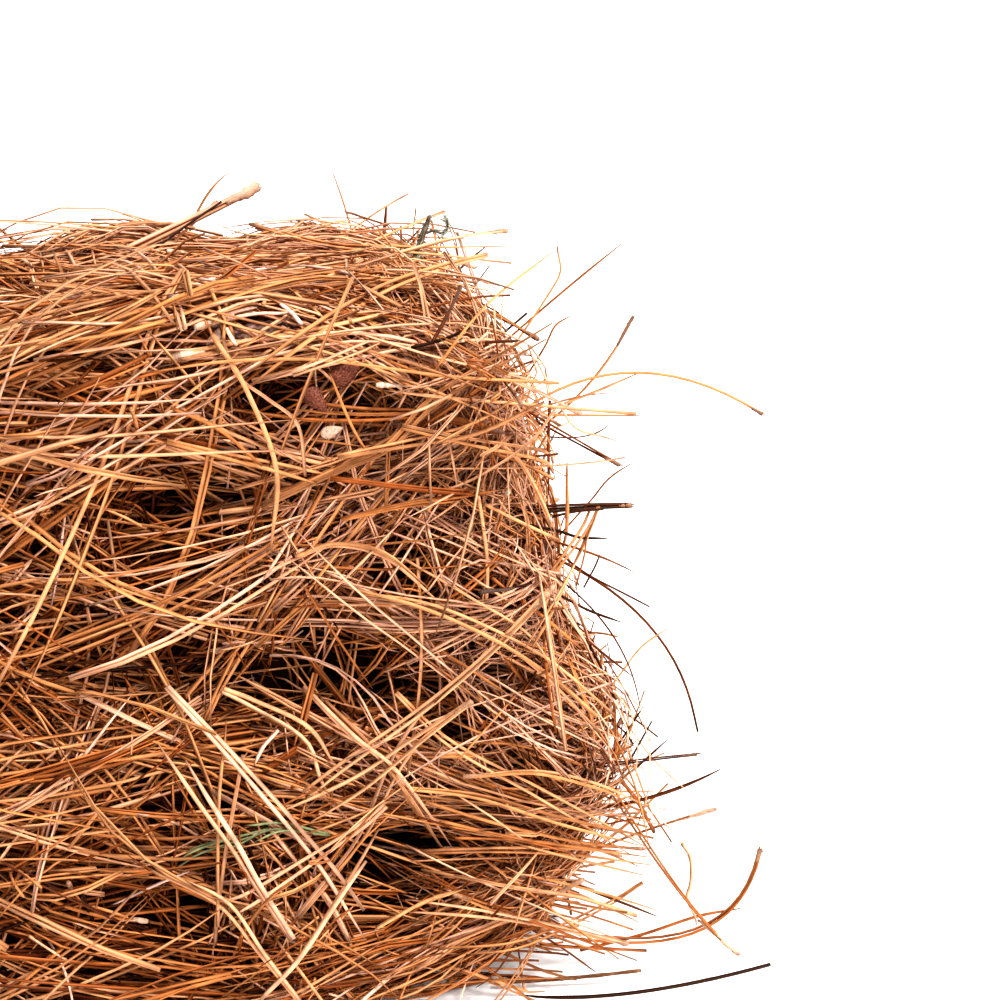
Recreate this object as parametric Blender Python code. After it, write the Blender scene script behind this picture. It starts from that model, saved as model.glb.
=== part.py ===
"""A pine straw bale: four pressed flakes of pine needles held by two baling twines.

The bale lies along X, stands on its flat underside at Z = 0 and has its origin at the middle of
that underside. Each flake is one closed solid that reaches the tips of its needles. Loose needles,
twigs and litter stick out of the flakes and are solids of their own.
"""

import math

import bmesh
import bpy
from mathutils import Matrix, Vector, noise
from mathutils.bvhtree import BVHTree
from mathutils.geometry import convex_hull_2d

# Driving dimensions, in metres.
LENGTH = 0.71
WIDTH = 0.36
HEIGHT = 0.36
LAYER = HEIGHT / 4  # thickness of one flake
GAP = 0.0003  # clearance between pieces that touch
HALF_LENGTH = LENGTH / 2
HALF_WIDTH = WIDTH / 2

# Rounding of the flakes: how far it reaches in from a side, and up or down from a layer's face.
SIDE_ROUND = 0.032
LAYER_ROUND = 0.022
CROWN_ROUND = 0.040
FOOT_ROUND = 0.012

# Swelling of the pressed straw: big lumps with smaller ones on them.
CROWN_DROP_ALONG = 0.0112  # how far the crown falls off towards the ends
CROWN_DROP_ACROSS = 0.008  # and towards the front and back
LUMP_SIZE = 0.12
LUMP_HEIGHT = 0.010
SMALL_LUMP_SIZE = 0.052
SMALL_LUMP_HEIGHT = 0.0033
CELL = 0.080  # spacing of the grid along the length
ROUND_CUT = 0.42  # where a rounded edge is cut between its two ends, as a share of the round

# Baling twine.
TWINE_RADIUS = 0.0015
TWINE_Y = 0.09
TWINE_CLEARANCE = 0.0036  # from the straw's groove to the middle of the twine
GROOVE_DEPTH = 0.009
GROOVE_HALF_WIDTH = 0.013
FOOT_GROOVE_DEPTH = 0.007
CORNER_SHARE = 0.25  # share of a stretch of twine that a corner takes up at most
CORNER_LENGTH = 0.006

# Each flake: its name, and how far it reaches to the left, right, front and back.
FLAKES = (
    ("bottom_flake", 0.342, 0.364, 0.180, 0.178),
    ("lower_flake", 0.345, 0.369, 0.177, 0.180),
    ("upper_flake", 0.343, 0.340, 0.175, 0.176),
    ("top_flake", 0.336, 0.326, 0.170, 0.172),
)

# Loose straw: name, thickness, root, tip and bow, which is how far its middle stands off the
# straight line. A root lies inside the straw, and the solid starts where it comes out.
NEEDLE = 0.0009
BUNDLE = 0.0016
TWIG = 0.0022
FINE_TWIG = 0.0015
LOOSE_STRAW = (
    ("right_needle_1", NEEDLE, (0.290, -0.050, 0.290), (0.383, -0.050, 0.367), (0.004, 0.0, 0.005)),
    ("right_needle_2", NEEDLE, (0.310, -0.120, 0.280), (0.375, -0.120, 0.342), (0.005, 0.0, -0.007)),
    ("right_needle_3", NEEDLE, (0.300, -0.140, 0.290), (0.436, -0.140, 0.298), (-0.004, 0.0, 0.026)),
    ("right_needle_4", NEEDLE, (0.290, -0.150, 0.307), (0.372, -0.152, 0.302), (0.0, 0.0, -0.001)),
    ("right_needle_5", NEEDLE, (0.310, -0.160, 0.299), (0.354, -0.160, 0.300), (0.006, 0.0, -0.005)),
    ("right_bundle_1", BUNDLE, (0.300, -0.150, 0.316), (0.359, -0.160, 0.281), (0.004, 0.0, -0.003)),
    ("right_bundle_2", BUNDLE, (0.300, -0.150, 0.256), (0.368, -0.150, 0.257), (0.0, 0.0, 0.001)),
    ("dark_twig_1", FINE_TWIG, (0.300, -0.160, 0.005), (0.376, -0.170, 0.010), (0.0, 0.0, -0.001)),
    ("right_needle_6", NEEDLE, (0.336, -0.150, 0.238), (0.331, -0.175, 0.281), (0.0, -0.004, -0.003)),
    ("right_needle_7", NEEDLE, (0.310, -0.160, 0.250), (0.377, -0.165, 0.224), (0.0, 0.0, 0.003)),
    ("right_needle_8", NEEDLE, (0.310, -0.140, 0.240), (0.402, -0.160, 0.152), (0.016, 0.0, 0.008)),
    ("right_needle_9", NEEDLE, (0.330, -0.150, 0.225), (0.370, -0.172, 0.160), (0.008, 0.0, 0.003)),
    ("right_needle_10", NEEDLE, (0.320, -0.150, 0.096), (0.414, -0.160, 0.118), (0.002, 0.0, -0.007)),
    ("right_needle_11", NEEDLE, (0.320, -0.160, 0.121), (0.401, -0.165, 0.129), (0.0, 0.0, 0.001)),
    ("right_bundle_3", BUNDLE, (0.300, -0.130, 0.035), (0.410, -0.172, 0.101), (0.0, 0.0, 0.004)),
    ("right_bundle_4", BUNDLE, (0.300, -0.150, 0.038), (0.437, -0.170, 0.073), (0.030, 0.0, -0.034)),
    ("right_bundle_5", BUNDLE, (0.346, -0.164, 0.137), (0.422, -0.184, 0.025), (0.006, 0.0, -0.018)),
    ("right_needle_12", NEEDLE, (0.300, -0.170, 0.006), (0.444, -0.177, 0.010), (-0.013, -0.007, -0.004)),
    ("right_needle_13", NEEDLE, (0.300, 0.060, 0.220), (0.420, 0.085, 0.262), (0.0, 0.0, 0.012)),
    ("right_needle_14", NEEDLE, (0.300, 0.020, 0.090), (0.418, 0.040, 0.060), (0.0, 0.0, 0.010)),
    ("right_bundle_6", BUNDLE, (0.300, 0.120, 0.150), (0.398, 0.150, 0.172), (0.0, 0.004, 0.006)),
    ("top_needle_1", NEEDLE, (0.262, 0.100, 0.330), (0.238, 0.100, 0.415), (0.003, 0.0, 0.003)),
    ("top_needle_2", NEEDLE, (0.225, 0.120, 0.340), (0.285, 0.120, 0.384), (0.002, 0.0, 0.004)),
    ("top_needle_3", NEEDLE, (0.150, 0.100, 0.340), (0.183, 0.100, 0.403), (-0.004, 0.0, 0.007)),
    ("top_bundle_1", BUNDLE, (0.120, 0.055, 0.335), (0.175, 0.060, 0.387), (0.0, 0.0, 0.002)),
    ("top_needle_4", NEEDLE, (-0.080, 0.020, 0.330), (-0.150, 0.060, 0.400), (-0.006, 0.0, 0.004)),
    ("top_bundle_2", BUNDLE, (-0.240, -0.110, 0.330), (-0.300, -0.150, 0.392), (0.0, 0.0, 0.008)),
    ("left_needle_1", NEEDLE, (-0.300, -0.100, 0.300), (-0.428, -0.130, 0.338), (0.0, 0.0, 0.014)),
    ("left_needle_2", NEEDLE, (-0.310, 0.050, 0.230), (-0.436, 0.070, 0.196), (0.0, 0.0, 0.016)),
    ("left_bundle_1", BUNDLE, (-0.310, -0.040, 0.130), (-0.418, -0.060, 0.158), (0.0, 0.0, -0.010)),
    ("left_needle_3", NEEDLE, (-0.310, 0.130, 0.060), (-0.424, 0.150, 0.034), (0.0, 0.0, 0.008)),
    ("left_needle_4", NEEDLE, (-0.310, -0.140, 0.040), (-0.410, -0.176, 0.020), (0.0, 0.0, 0.006)),
    ("back_needle_1", NEEDLE, (0.200, 0.140, 0.280), (0.290, 0.216, 0.310), (0.0, 0.006, 0.004)),
    ("back_needle_2", NEEDLE, (-0.060, 0.150, 0.140), (-0.150, 0.218, 0.110), (0.0, 0.006, 0.008)),
    ("back_bundle_1", BUNDLE, (-0.250, 0.130, 0.240), (-0.310, 0.210, 0.270), (0.0, 0.004, 0.006)),
    ("front_needle_1", NEEDLE, (-0.050, -0.140, 0.260), (-0.140, -0.216, 0.230), (0.0, -0.006, 0.008)),
    ("front_bundle_1", BUNDLE, (-0.210, -0.140, 0.110), (-0.290, -0.208, 0.140), (0.0, -0.004, -0.006)),
    ("front_needle_2", NEEDLE, (0.130, -0.150, 0.060), (0.055, -0.214, 0.026), (0.0, -0.004, 0.008)),
)
LOOSE_POINTS = 7
SEARCH_STEPS = 200  # places tried for the one where a strand comes out of the straw
NEEDLE_TAPER = 0.75  # share of its thickness that a needle loses towards its tip
BUNDLE_NECK = 0.85  # a bundle's thickness at its root and how much its sheath flares
BUNDLE_FLARE = 0.35

# The thick pale stalk and the twig with lichen stand up out of the top.
STALK_RADIUS = 0.0026
STALK = (("pale_stalk", STALK_RADIUS, (0.070, 0.040, 0.340), (0.199, 0.060, 0.396), (0.0, 0.0, -0.001)),)
LICHEN_TWIG = ("lichen_twig", TWIG, (0.280, 0.040, 0.300), (0.296, 0.030, 0.381), (-0.004, 0.0, 0.002))
BRANCHLET_RADIUS = 0.0012
BRANCHLET_START = 0.82  # share of the twig's length
BRANCHLET_STAND_OFF = 0.4  # its slanted base leans this share of its radius clear of the twig
BRANCHLET_REACH = Vector((0.013, -0.004, 0.010))

# Litter lying on the straw: name, place as seen from outside, long side, short side, thickness, turn.
BARK = ("bark_flake", (0.199, -1.0, 0.346), 0.030, 0.013, 0.0022, 8.0)
SCALES = (
    ("cone_scale_1", (0.234, -1.0, 0.330), 0.016, 0.010, 0.0035, 35.0),
    ("cone_scale_2", (0.220, -1.0, 0.319), 0.013, 0.009, 0.0032, -50.0),
    ("cone_scale_3", (-0.120, -1.0, 0.120), 0.015, 0.010, 0.0035, 15.0),
    ("bud_scale_1", (0.177, -1.0, 0.343), 0.011, 0.007, 0.0022, 70.0),
    ("bud_scale_2", (0.226, -1.0, 0.305), 0.010, 0.006, 0.0020, 20.0),
    ("bud_scale_3", (-0.230, 1.0, 0.200), 0.012, 0.007, 0.0022, -30.0),
)
LITTER_LIFT = 0.0030
BARK_RAGGED = 0.35  # how uneven the bark's edge is
BARK_GRAIN = 90.0
BARK_CURL = 0.6
SCALE_WIDE = 1.15  # a scale's width at its base, and how much of it is lost towards the tip
SCALE_TAPER = 0.6

# Knots: a barrel of turns round each twine at the left end, with two loose tails.
KNOT_TURNS = 3
KNOT_STEPS = 8  # points in one turn
KNOT_PITCH = 2 * TWINE_RADIUS + 0.0006
KNOT_RADIUS = 2 * TWINE_RADIUS + 0.0006  # from the twine's middle to the knot strand's middle
KNOT_TAIL = 0.045
TAIL_STEPS = 6
TAIL_REACH = 0.75  # how far a tail goes out, curls back and droops, as shares of its length
TAIL_CURL = 0.3
TAIL_DROOP = 0.35

COLOURS = {
    "straw": (0.45, 0.20, 0.07),
    "needle": (0.52, 0.24, 0.08),
    "dark": (0.09, 0.045, 0.025),
    "pale": (0.68, 0.48, 0.32),
    "bark": (0.36, 0.24, 0.19),
    "scale": (0.30, 0.12, 0.06),
    "lichen": (0.34, 0.35, 0.26),
    "twine": (0.60, 0.46, 0.26),
}
ROUGHNESS = 0.62


def clear_scene():
    for item in list(bpy.data.objects):
        bpy.data.objects.remove(item, do_unlink=True)


def material(kind):
    """The Principled material of one kind of stuff, made once."""
    made = bpy.data.materials.get(kind)
    if made is None:
        made = bpy.data.materials.new(kind)
        made.use_nodes = True
        shader = made.node_tree.nodes["Principled BSDF"]
        shader.inputs["Base Color"].default_value = (*COLOURS[kind], 1.0)
        shader.inputs["Roughness"].default_value = ROUGHNESS
        shader.inputs["Metallic"].default_value = 0.0
    return made


def add_object(name, data, kind, collection):
    """Links one sub-part and gives it its material."""
    item = bpy.data.objects.new(name, data)
    data.materials.append(material(kind))
    collection.objects.link(item)
    return item


def lump(place, size, height):
    """A soft swelling of the straw at a place."""
    return height * noise.noise(place / size)


def edge_cuts(low, high, low_round, high_round):
    """Cuts that let an edge be rounded: where its round starts, and part way round it."""
    lower = [low + low_round * ROUND_CUT, low + low_round]
    return lower + [high - high_round, high - high_round * ROUND_CUT]


def even_cuts(low, high):
    """Even cuts along the stretch between the rounds."""
    start, end = low + SIDE_ROUND, high - SIDE_ROUND
    count = round((end - start) / CELL)
    return [start + (end - start) * i / count for i in range(1, count)]


def gridded_box(low, high, places):
    """A box whose sides are cut into a grid at the given places along X, Y and Z."""
    form = bmesh.new()
    bmesh.ops.create_cube(form, size=1.0)
    for vertex in form.verts:
        for axis in range(3):
            vertex.co[axis] = high[axis] if vertex.co[axis] > 0 else low[axis]
    for axis, stops in enumerate(places):
        normal = Vector([float(axis == i) for i in range(3)])
        for stop in stops:
            everything = form.verts[:] + form.edges[:] + form.faces[:]
            bmesh.ops.bisect_plane(form, geom=everything, plane_co=normal * stop, plane_no=normal)
    return form


def rounded(place, low, high, foot, crown):
    """Moves a place on a box's side onto the rounded box, and returns it with its outward turn."""
    core, turn, reach = Vector(), Vector(), Vector()
    for axis in range(3):
        reach_low = foot if axis == 2 else SIDE_ROUND
        reach_high = crown if axis == 2 else SIDE_ROUND
        below = place[axis] < low[axis] + reach_low
        above = place[axis] > high[axis] - reach_high
        core[axis] = place[axis]
        reach[axis] = reach_low
        if below:
            core[axis] = low[axis] + reach_low
        elif above:
            core[axis] = high[axis] - reach_high
            reach[axis] = reach_high
        turn[axis] = (place[axis] - core[axis]) / reach[axis]
    turn.normalize()
    return core + Vector([turn[axis] * reach[axis] for axis in range(3)]), turn


def swollen(place, turn, is_top):
    """Adds the straw's lumps and the crown of the top, and leaves pressed faces flat."""
    size = lump(place, LUMP_SIZE, LUMP_HEIGHT) + lump(place, SMALL_LUMP_SIZE, SMALL_LUMP_HEIGHT)
    place = place + Vector((turn.x, turn.y, 0.0)) * size
    if is_top and turn.z > 0:
        along = abs(place.x) / HALF_LENGTH
        across = abs(place.y) / HALF_WIDTH
        crown = CROWN_DROP_ALONG * along**4 + CROWN_DROP_ACROSS * across**4
        place.z += (size - crown) * turn.z
    return place


def grooved(place, turn, row, is_top, is_foot):
    """Sinks the rows under the twines."""
    if abs(abs(row) - TWINE_Y) > 1e-4:
        return place
    place.x -= GROOVE_DEPTH * turn.x
    if is_top and turn.z > 0:
        place.z -= GROOVE_DEPTH * turn.z
    if is_foot and turn.z < 0:
        place.z += FOOT_GROOVE_DEPTH * turn.z**2
    return place


def make_flake(index, collection):
    """One pressed layer of straw. Its faces against other layers are flat, its sides bulge."""
    name, left, right, front, back = FLAKES[index]
    is_foot, is_top = index == 0, index == len(FLAKES) - 1
    low = Vector((-left, -front, index * LAYER + (0.0 if is_foot else GAP)))
    high = Vector((right, back, (index + 1) * LAYER - (0.0 if is_top else GAP)))
    foot = FOOT_ROUND if is_foot else LAYER_ROUND
    crown = CROWN_ROUND if is_top else LAYER_ROUND
    rows = [TWINE_Y - GROOVE_HALF_WIDTH, TWINE_Y, TWINE_Y + GROOVE_HALF_WIDTH]
    middle_row = TWINE_Y / 3
    rows = [-r for r in reversed(rows)] + [-middle_row, middle_row] + rows
    places = (
        edge_cuts(low.x, high.x, SIDE_ROUND, SIDE_ROUND) + even_cuts(low.x, high.x),
        edge_cuts(low.y, high.y, SIDE_ROUND, SIDE_ROUND) + rows,
        edge_cuts(low.z, high.z, foot, crown),
    )
    form = gridded_box(low, high, places)
    for vertex in form.verts:
        row = vertex.co.y
        place, turn = rounded(vertex.co, low, high, foot, crown)
        place = swollen(place, turn, is_top)
        vertex.co = grooved(place, turn, row, is_top, is_foot)
    bmesh.ops.recalc_face_normals(form, faces=form.faces[:])
    data = bpy.data.meshes.new(name)
    form.to_mesh(data)
    form.free()
    data.shade_smooth()
    return add_object(name, data, "straw", collection)


def tube(name, points, radii, kind, collection, resolution, cyclic=False):
    """A round strand through points, with a radius at each of them."""
    curve = bpy.data.curves.new(name, "CURVE")
    curve.dimensions = "3D"
    curve.bevel_depth = 1.0
    curve.bevel_resolution = resolution
    curve.use_fill_caps = not cyclic
    spline = curve.splines.new("POLY")
    spline.points.add(len(points) - 1)
    for point, place, radius in zip(spline.points, points, radii):
        point.co = (*place, 1.0)
        point.radius = radius
    spline.use_cyclic_u = cyclic
    spline.use_smooth = True
    return add_object(name, curve, kind, collection)


def bowed(root, tip, bow, share):
    """The place at a share of the way along a bowed strand."""
    root, tip, bow = Vector(root), Vector(tip), Vector(bow)
    return root.lerp(tip, share) + bow * (4 * share * (1 - share))


def free_part(row, trees):
    """The stretch of a bowed strand, from its tip back to where it goes into the straw."""
    _, radius, root, tip, bow = row
    start = 0.0
    for i in range(SEARCH_STEPS, -1, -1):
        share = i / SEARCH_STEPS
        place = bowed(root, tip, bow, share)
        near = min(tree.find_nearest(place)[3] for tree in trees)
        if near < radius + 2 * GAP:
            start = (i + 1) / SEARCH_STEPS
            break
    shares = [start + (1 - start) * i / (LOOSE_POINTS - 1) for i in range(LOOSE_POINTS)]
    return [bowed(root, tip, bow, share) for share in shares]


def make_loose(row, kind, trees, collection):
    """A loose needle tapers to its tip. A bundle, a stalk or a twig ends thick, in its sheath."""
    name, radius = row[0], row[1]
    points = free_part(row, trees)
    shares = [i / (LOOSE_POINTS - 1) for i in range(LOOSE_POINTS)]
    if radius <= NEEDLE:
        radii = [radius * (1 - NEEDLE_TAPER * share**3) for share in shares]
    else:
        radii = [radius * (BUNDLE_NECK + BUNDLE_FLARE * share**4) for share in shares]
    return tube(name, points, radii, kind, collection, 1)


def twine_route(flakes, y):
    """A taut loop round the bale at one Y: the hull of the groove's rows, moved off the straw."""
    marks = []
    for flake in flakes:
        marks += [v.co for v in flake.data.vertices if abs(v.co.y - y) < 0.3 * GROOVE_HALF_WIDTH]
    flat = [(place.x, place.z) for place in marks]
    hull = [Vector(flat[i]) for i in convex_hull_2d(flat)]
    middle = sum(hull, Vector((0.0, 0.0))) / len(hull)
    moved = []
    for i, corner in enumerate(hull):
        before, after = hull[i - 1], hull[(i + 1) % len(hull)]
        sides = [(corner - before).normalized(), (after - corner).normalized()]
        normals = [Vector((side.y, -side.x)) for side in sides]
        normals = [n if n.dot(corner - middle) > 0 else -n for n in normals]
        out = (normals[0] + normals[1]).normalized()
        moved.append(corner + out * (TWINE_CLEARANCE / out.dot(normals[0])))
    eased = []
    for i, corner in enumerate(moved):
        after = moved[(i + 1) % len(moved)]
        length = (after - corner).length
        share = min(CORNER_SHARE, CORNER_LENGTH / length)
        eased += [corner.lerp(after, share), corner.lerp(after, 1 - share)]
    return [Vector((place.x, y, place.y)) for place in eased]


def make_twine(name, flakes, y, collection):
    route = twine_route(flakes, y)
    tube(name, route, [TWINE_RADIUS] * len(route), "twine", collection, 1, cyclic=True)
    return route


def make_knot(name, route, collection):
    """A barrel knot round the upright stretch of the twine at the left end."""
    left = min(place.x for place in route)
    spans = [(route[i - 1], route[i]) for i in range(len(route))]
    spans = [s for s in spans if max(s[0].x, s[1].x) < left + 0.05]
    low, high = max(spans, key=lambda span: abs(span[0].z - span[1].z))
    if low.z > high.z:
        low, high = high, low
    along = (high - low).normalized()
    out = Vector((-along.z, 0.0, along.x))
    if out.x > 0:
        out = -out
    across = along.cross(out)
    middle = (low + high) / 2
    total = KNOT_TURNS * KNOT_STEPS
    points = []
    for i in range(total + 1):
        angle = 2 * math.pi * i / KNOT_STEPS
        rise = KNOT_PITCH * (i / KNOT_STEPS - KNOT_TURNS / 2)
        offset = out * math.cos(angle) + across * math.sin(angle)
        points.append(middle + along * rise + offset * KNOT_RADIUS)
    for end, side in ((0, -1), (-1, 1)):
        start = points[end]
        tail = []
        for i in range(1, TAIL_STEPS + 1):
            share = i / TAIL_STEPS
            reach = across * side * share + out * (TAIL_REACH * share - TAIL_CURL * share**2)
            droop = Vector((0.0, 0.0, -TAIL_DROOP * share**2))
            tail.append(start + (reach + droop) * KNOT_TAIL)
        points = list(reversed(tail)) + points if end == 0 else points + tail
    tube(name, points, [TWINE_RADIUS] * len(points), "twine", collection, 1)


def facing(place, trees):
    """Where a straight line from outside, along Y, meets the straw, and the normal there."""
    start = Vector(place)
    hits = [tree.ray_cast(start, Vector((0.0, -math.copysign(1.0, start.y), 0.0))) for tree in trees]
    hits = [hit for hit in hits if hit[0] is not None]
    nearest = min(hits, key=lambda hit: hit[3])
    normal = nearest[1]
    return nearest[0], normal if normal.y * start.y > 0 else -normal


def laid_on(form, place, trees, thickness, turn):
    """Turns a flat form, made in XY about the origin, onto the straw."""
    spot, normal = facing(place, trees)
    across = Vector((0.0, 0.0, 1.0)).cross(normal).normalized()
    up = normal.cross(across)
    frame = Matrix((across, up, normal)).transposed().to_4x4()
    spin = Matrix.Rotation(math.radians(turn), 4, "Z")
    move = Matrix.Translation(spot + normal * (thickness + LITTER_LIFT))
    bmesh.ops.transform(form, matrix=move @ frame @ spin, verts=form.verts[:])


def make_bark(row, trees, collection):
    """A thin curled flake of bark with a ragged edge."""
    name, place, length, width, thickness, turn = row
    half = Vector((length, width, thickness)) / 2
    steps = [-0.5, 0.0, 0.5]
    form = gridded_box(-half, half, ([half.x * s for s in steps], [0.0], []))
    for vertex in form.verts:
        edge = max(abs(vertex.co.x) / half.x, abs(vertex.co.y) / half.y)
        uneven = noise.noise(Vector((vertex.co.x, vertex.co.y, 0.0)) * BARK_GRAIN)
        ragged = 1 + BARK_RAGGED * edge * uneven
        vertex.co.x *= ragged
        vertex.co.y *= ragged
        vertex.co.z -= BARK_CURL * thickness * (vertex.co.y / half.y) ** 2
    laid_on(form, place, trees, thickness, turn)
    data = bpy.data.meshes.new(name)
    form.to_mesh(data)
    form.free()
    add_object(name, data, "bark", collection)


def make_scale(row, trees, collection):
    """A woody or papery scale: a flattened drop with its tip turned up."""
    name, place, length, width, thickness, turn = row
    form = bmesh.new()
    bmesh.ops.create_uvsphere(form, u_segments=10, v_segments=6, radius=0.5)
    for vertex in form.verts:
        along = vertex.co.x + 0.5
        vertex.co.x *= length
        vertex.co.y *= width * (SCALE_WIDE - SCALE_TAPER * along)
        vertex.co.z = vertex.co.z * thickness + 0.5 * thickness * along**2
    laid_on(form, place, trees, thickness, turn)
    data = bpy.data.meshes.new(name)
    form.to_mesh(data)
    form.free()
    data.shade_smooth()
    add_object(name, data, "pale" if name.startswith("bud") else "scale", collection)


def make_lichen_twig(trees, collection):
    """A rough twig, and a branchlet at its fork, which is a piece of its own."""
    make_loose(LICHEN_TWIG, "lichen", trees, collection)
    _, radius, root, tip, bow = LICHEN_TWIG
    fork = bowed(root, tip, bow, BRANCHLET_START)
    along = (Vector(tip) - Vector(root)).normalized()
    side = (BRANCHLET_REACH - along * BRANCHLET_REACH.dot(along)).normalized()
    start = fork + side * (radius + BRANCHLET_STAND_OFF * BRANCHLET_RADIUS + GAP)
    points = [start + BRANCHLET_REACH * (i / 4) + along * (0.004 * (i / 4) ** 2) for i in range(5)]
    radii = [BRANCHLET_RADIUS * (1 - 0.12 * i) for i in range(5)]
    tube("lichen_branchlet", points, radii, "lichen", collection, 1)


def build():
    clear_scene()
    collection = bpy.data.collections.new("pine_straw_bale")
    bpy.context.scene.collection.children.link(collection)
    flakes = [make_flake(i, collection) for i in range(len(FLAKES))]
    bpy.context.view_layer.update()
    depsgraph = bpy.context.evaluated_depsgraph_get()
    trees = [BVHTree.FromObject(flake, depsgraph) for flake in flakes]
    for side, y in (("front", -TWINE_Y), ("back", TWINE_Y)):
        route = make_twine(side + "_twine", flakes, y, collection)
        make_knot(side + "_twine_knot", route, collection)
    for row in LOOSE_STRAW:
        kind = "dark" if row[1] == FINE_TWIG else "needle"
        make_loose(row, kind, trees, collection)
    for row in STALK:
        make_loose(row, "pale", trees, collection)
    make_lichen_twig(trees, collection)
    make_bark(BARK, trees, collection)
    for row in SCALES:
        make_scale(row, trees, collection)


build()
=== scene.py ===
"""The looks of the pine straw bale: every needle, sheath, twine, twig and scrap of litter.

Needles are laid along the bale's surface and joined into one mesh for each flake. Their paths follow
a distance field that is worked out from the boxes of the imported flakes.
"""

import math

import bpy
import numpy as np
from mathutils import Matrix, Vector
from mathutils.geometry import convex_hull_2d


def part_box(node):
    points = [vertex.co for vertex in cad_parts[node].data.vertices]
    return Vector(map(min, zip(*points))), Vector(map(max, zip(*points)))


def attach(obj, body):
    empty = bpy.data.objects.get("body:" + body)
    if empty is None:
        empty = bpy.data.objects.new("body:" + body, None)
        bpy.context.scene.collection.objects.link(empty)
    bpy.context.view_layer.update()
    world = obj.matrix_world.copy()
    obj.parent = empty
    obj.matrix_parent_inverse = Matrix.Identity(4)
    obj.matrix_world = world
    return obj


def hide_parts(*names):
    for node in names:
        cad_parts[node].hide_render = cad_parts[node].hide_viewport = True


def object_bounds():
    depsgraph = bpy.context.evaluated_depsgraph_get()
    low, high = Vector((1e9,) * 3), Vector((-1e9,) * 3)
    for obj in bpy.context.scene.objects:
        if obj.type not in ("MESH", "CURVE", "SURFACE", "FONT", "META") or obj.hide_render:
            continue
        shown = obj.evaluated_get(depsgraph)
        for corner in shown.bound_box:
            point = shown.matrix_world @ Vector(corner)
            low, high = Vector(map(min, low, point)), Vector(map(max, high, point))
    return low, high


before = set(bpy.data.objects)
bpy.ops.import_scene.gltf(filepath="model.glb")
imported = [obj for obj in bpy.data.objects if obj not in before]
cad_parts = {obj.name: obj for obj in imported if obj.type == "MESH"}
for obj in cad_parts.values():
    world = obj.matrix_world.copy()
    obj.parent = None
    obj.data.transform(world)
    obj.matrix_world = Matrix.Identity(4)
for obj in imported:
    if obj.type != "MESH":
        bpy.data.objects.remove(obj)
CAD_BOX = np.array([list(corner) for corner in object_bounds()])

rng = np.random.default_rng(20)


def node_box(name):
    """The lowest and highest corners of a CAD node."""
    return np.array([list(corner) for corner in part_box(name)])


def unit(v):
    """Vectors made one long."""
    return v / np.maximum(np.linalg.norm(v, axis=-1, keepdims=True), 1e-9)


def fade(value, start, span):
    """How far values have come from a start over a span, 0 to 1."""
    return np.clip((value - start) / span, 0, 1)


def turned(first, second, angle):
    """Directions at angles from the first towards the second."""
    return first * np.cos(angle)[:, None] + second * np.sin(angle)[:, None]


def around(paths, normals, axis=1):
    """The ways ahead, aside and out at each point of paths that lie along an axis."""
    way = unit(np.gradient(paths, axis=axis))
    side = unit(np.cross(way, normals + 1e-4))
    return way, side, np.cross(side, way)


# ------------------------------------------------------------------ the mat's surface
FLAKES = ("bottom_flake", "lower_flake", "upper_flake", "top_flake")
SURFACE_INSET = 0.009  # how far the mat of needles lies inside the flake solids
SOFT_END = 0.005  # how much deeper it lies at the right end, which is loose
ROUND = 0.030  # radius of the flakes' edges
BLEND = 0.020  # how softly one flake's side runs into the next
UNDERSIDE = 0.003  # height of the mat's flat underside
LOWEST = 0.0022  # no needle's middle goes lower than this
TWINE_Y = 0.09  # how far each twine lies from the bale's middle line
TWINE_RADIUS = 0.0015
LUMP_HEIGHT = 0.008  # how far the surface wanders in and out
FOOT = (0.02, 0.03)  # where lumps and hollows begin above the ground, and over what height
GROOVE = (0.006, 0.010)  # depth and half width of the straw's groove under a twine that shows
RIDGE = (0.010, 0.024)  # height and half width of the straw over a twine that is hidden
# Straw hides the twines from one place along the bale to another: the places, and over what length.
HIDDEN_FROM, HIDDEN_TO = (0.02, 0.06), (0.33, -0.02)
HIDDEN_TOP = 0.30  # on the top, that is above this height
HIDDEN_END = 0.28  # and beyond this place the front twine is hidden all the way down

boxes = np.array([node_box(name) for name in FLAKES])
boxes[:, 0, :2] += SURFACE_INSET
boxes[:, 1, :2] -= SURFACE_INSET
boxes[-1, 1, 2] -= SURFACE_INSET
boxes[:, 1, 0] -= SOFT_END
boxes[0, 0, 2] = UNDERSIDE
flake_tops = boxes[:-1, 1, 2]

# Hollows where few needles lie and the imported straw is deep: place and radius.
HOLLOWS = (
    (0.238, -0.170, 0.191, 0.017),
    (0.255, -0.170, 0.178, 0.015),
    (0.232, -0.170, 0.084, 0.015),
    (0.243, -0.170, 0.064, 0.014),
    (0.204, -0.170, 0.317, 0.012),
    (0.242, -0.170, 0.316, 0.012),
    (0.155, -0.170, 0.276, 0.015),
    (0.156, -0.170, 0.246, 0.010),
    (0.258, -0.170, 0.239, 0.011),
    (0.319, -0.170, 0.254, 0.011),
    (0.150, -0.170, 0.201, 0.014),
    (0.177, -0.170, 0.158, 0.010),
    (0.150, -0.170, 0.124, 0.016),
    (0.144, -0.170, 0.071, 0.013),
    (0.148, -0.170, 0.041, 0.012),
    (0.280, -0.170, 0.160, 0.009),
    (0.310, -0.170, 0.135, 0.010),
    (0.292, -0.170, 0.236, 0.010),
    (0.288, 0.015, 0.350, 0.013),
)
# Where straw has come away from the right end: place, reach and depth.
WORN = (
    ((0.365, -0.180, 0.000), (0.050, 0.055, 0.050), 0.054),
    ((0.338, -0.030, 0.355), (0.036, 0.200, 0.060), 0.026),
    ((0.150, 0.190, 0.370), (0.400, 0.055, 0.060), 0.012),
    ((0.380, -0.170, 0.155), (0.022, 0.060, 0.032), 0.012),
)


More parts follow.
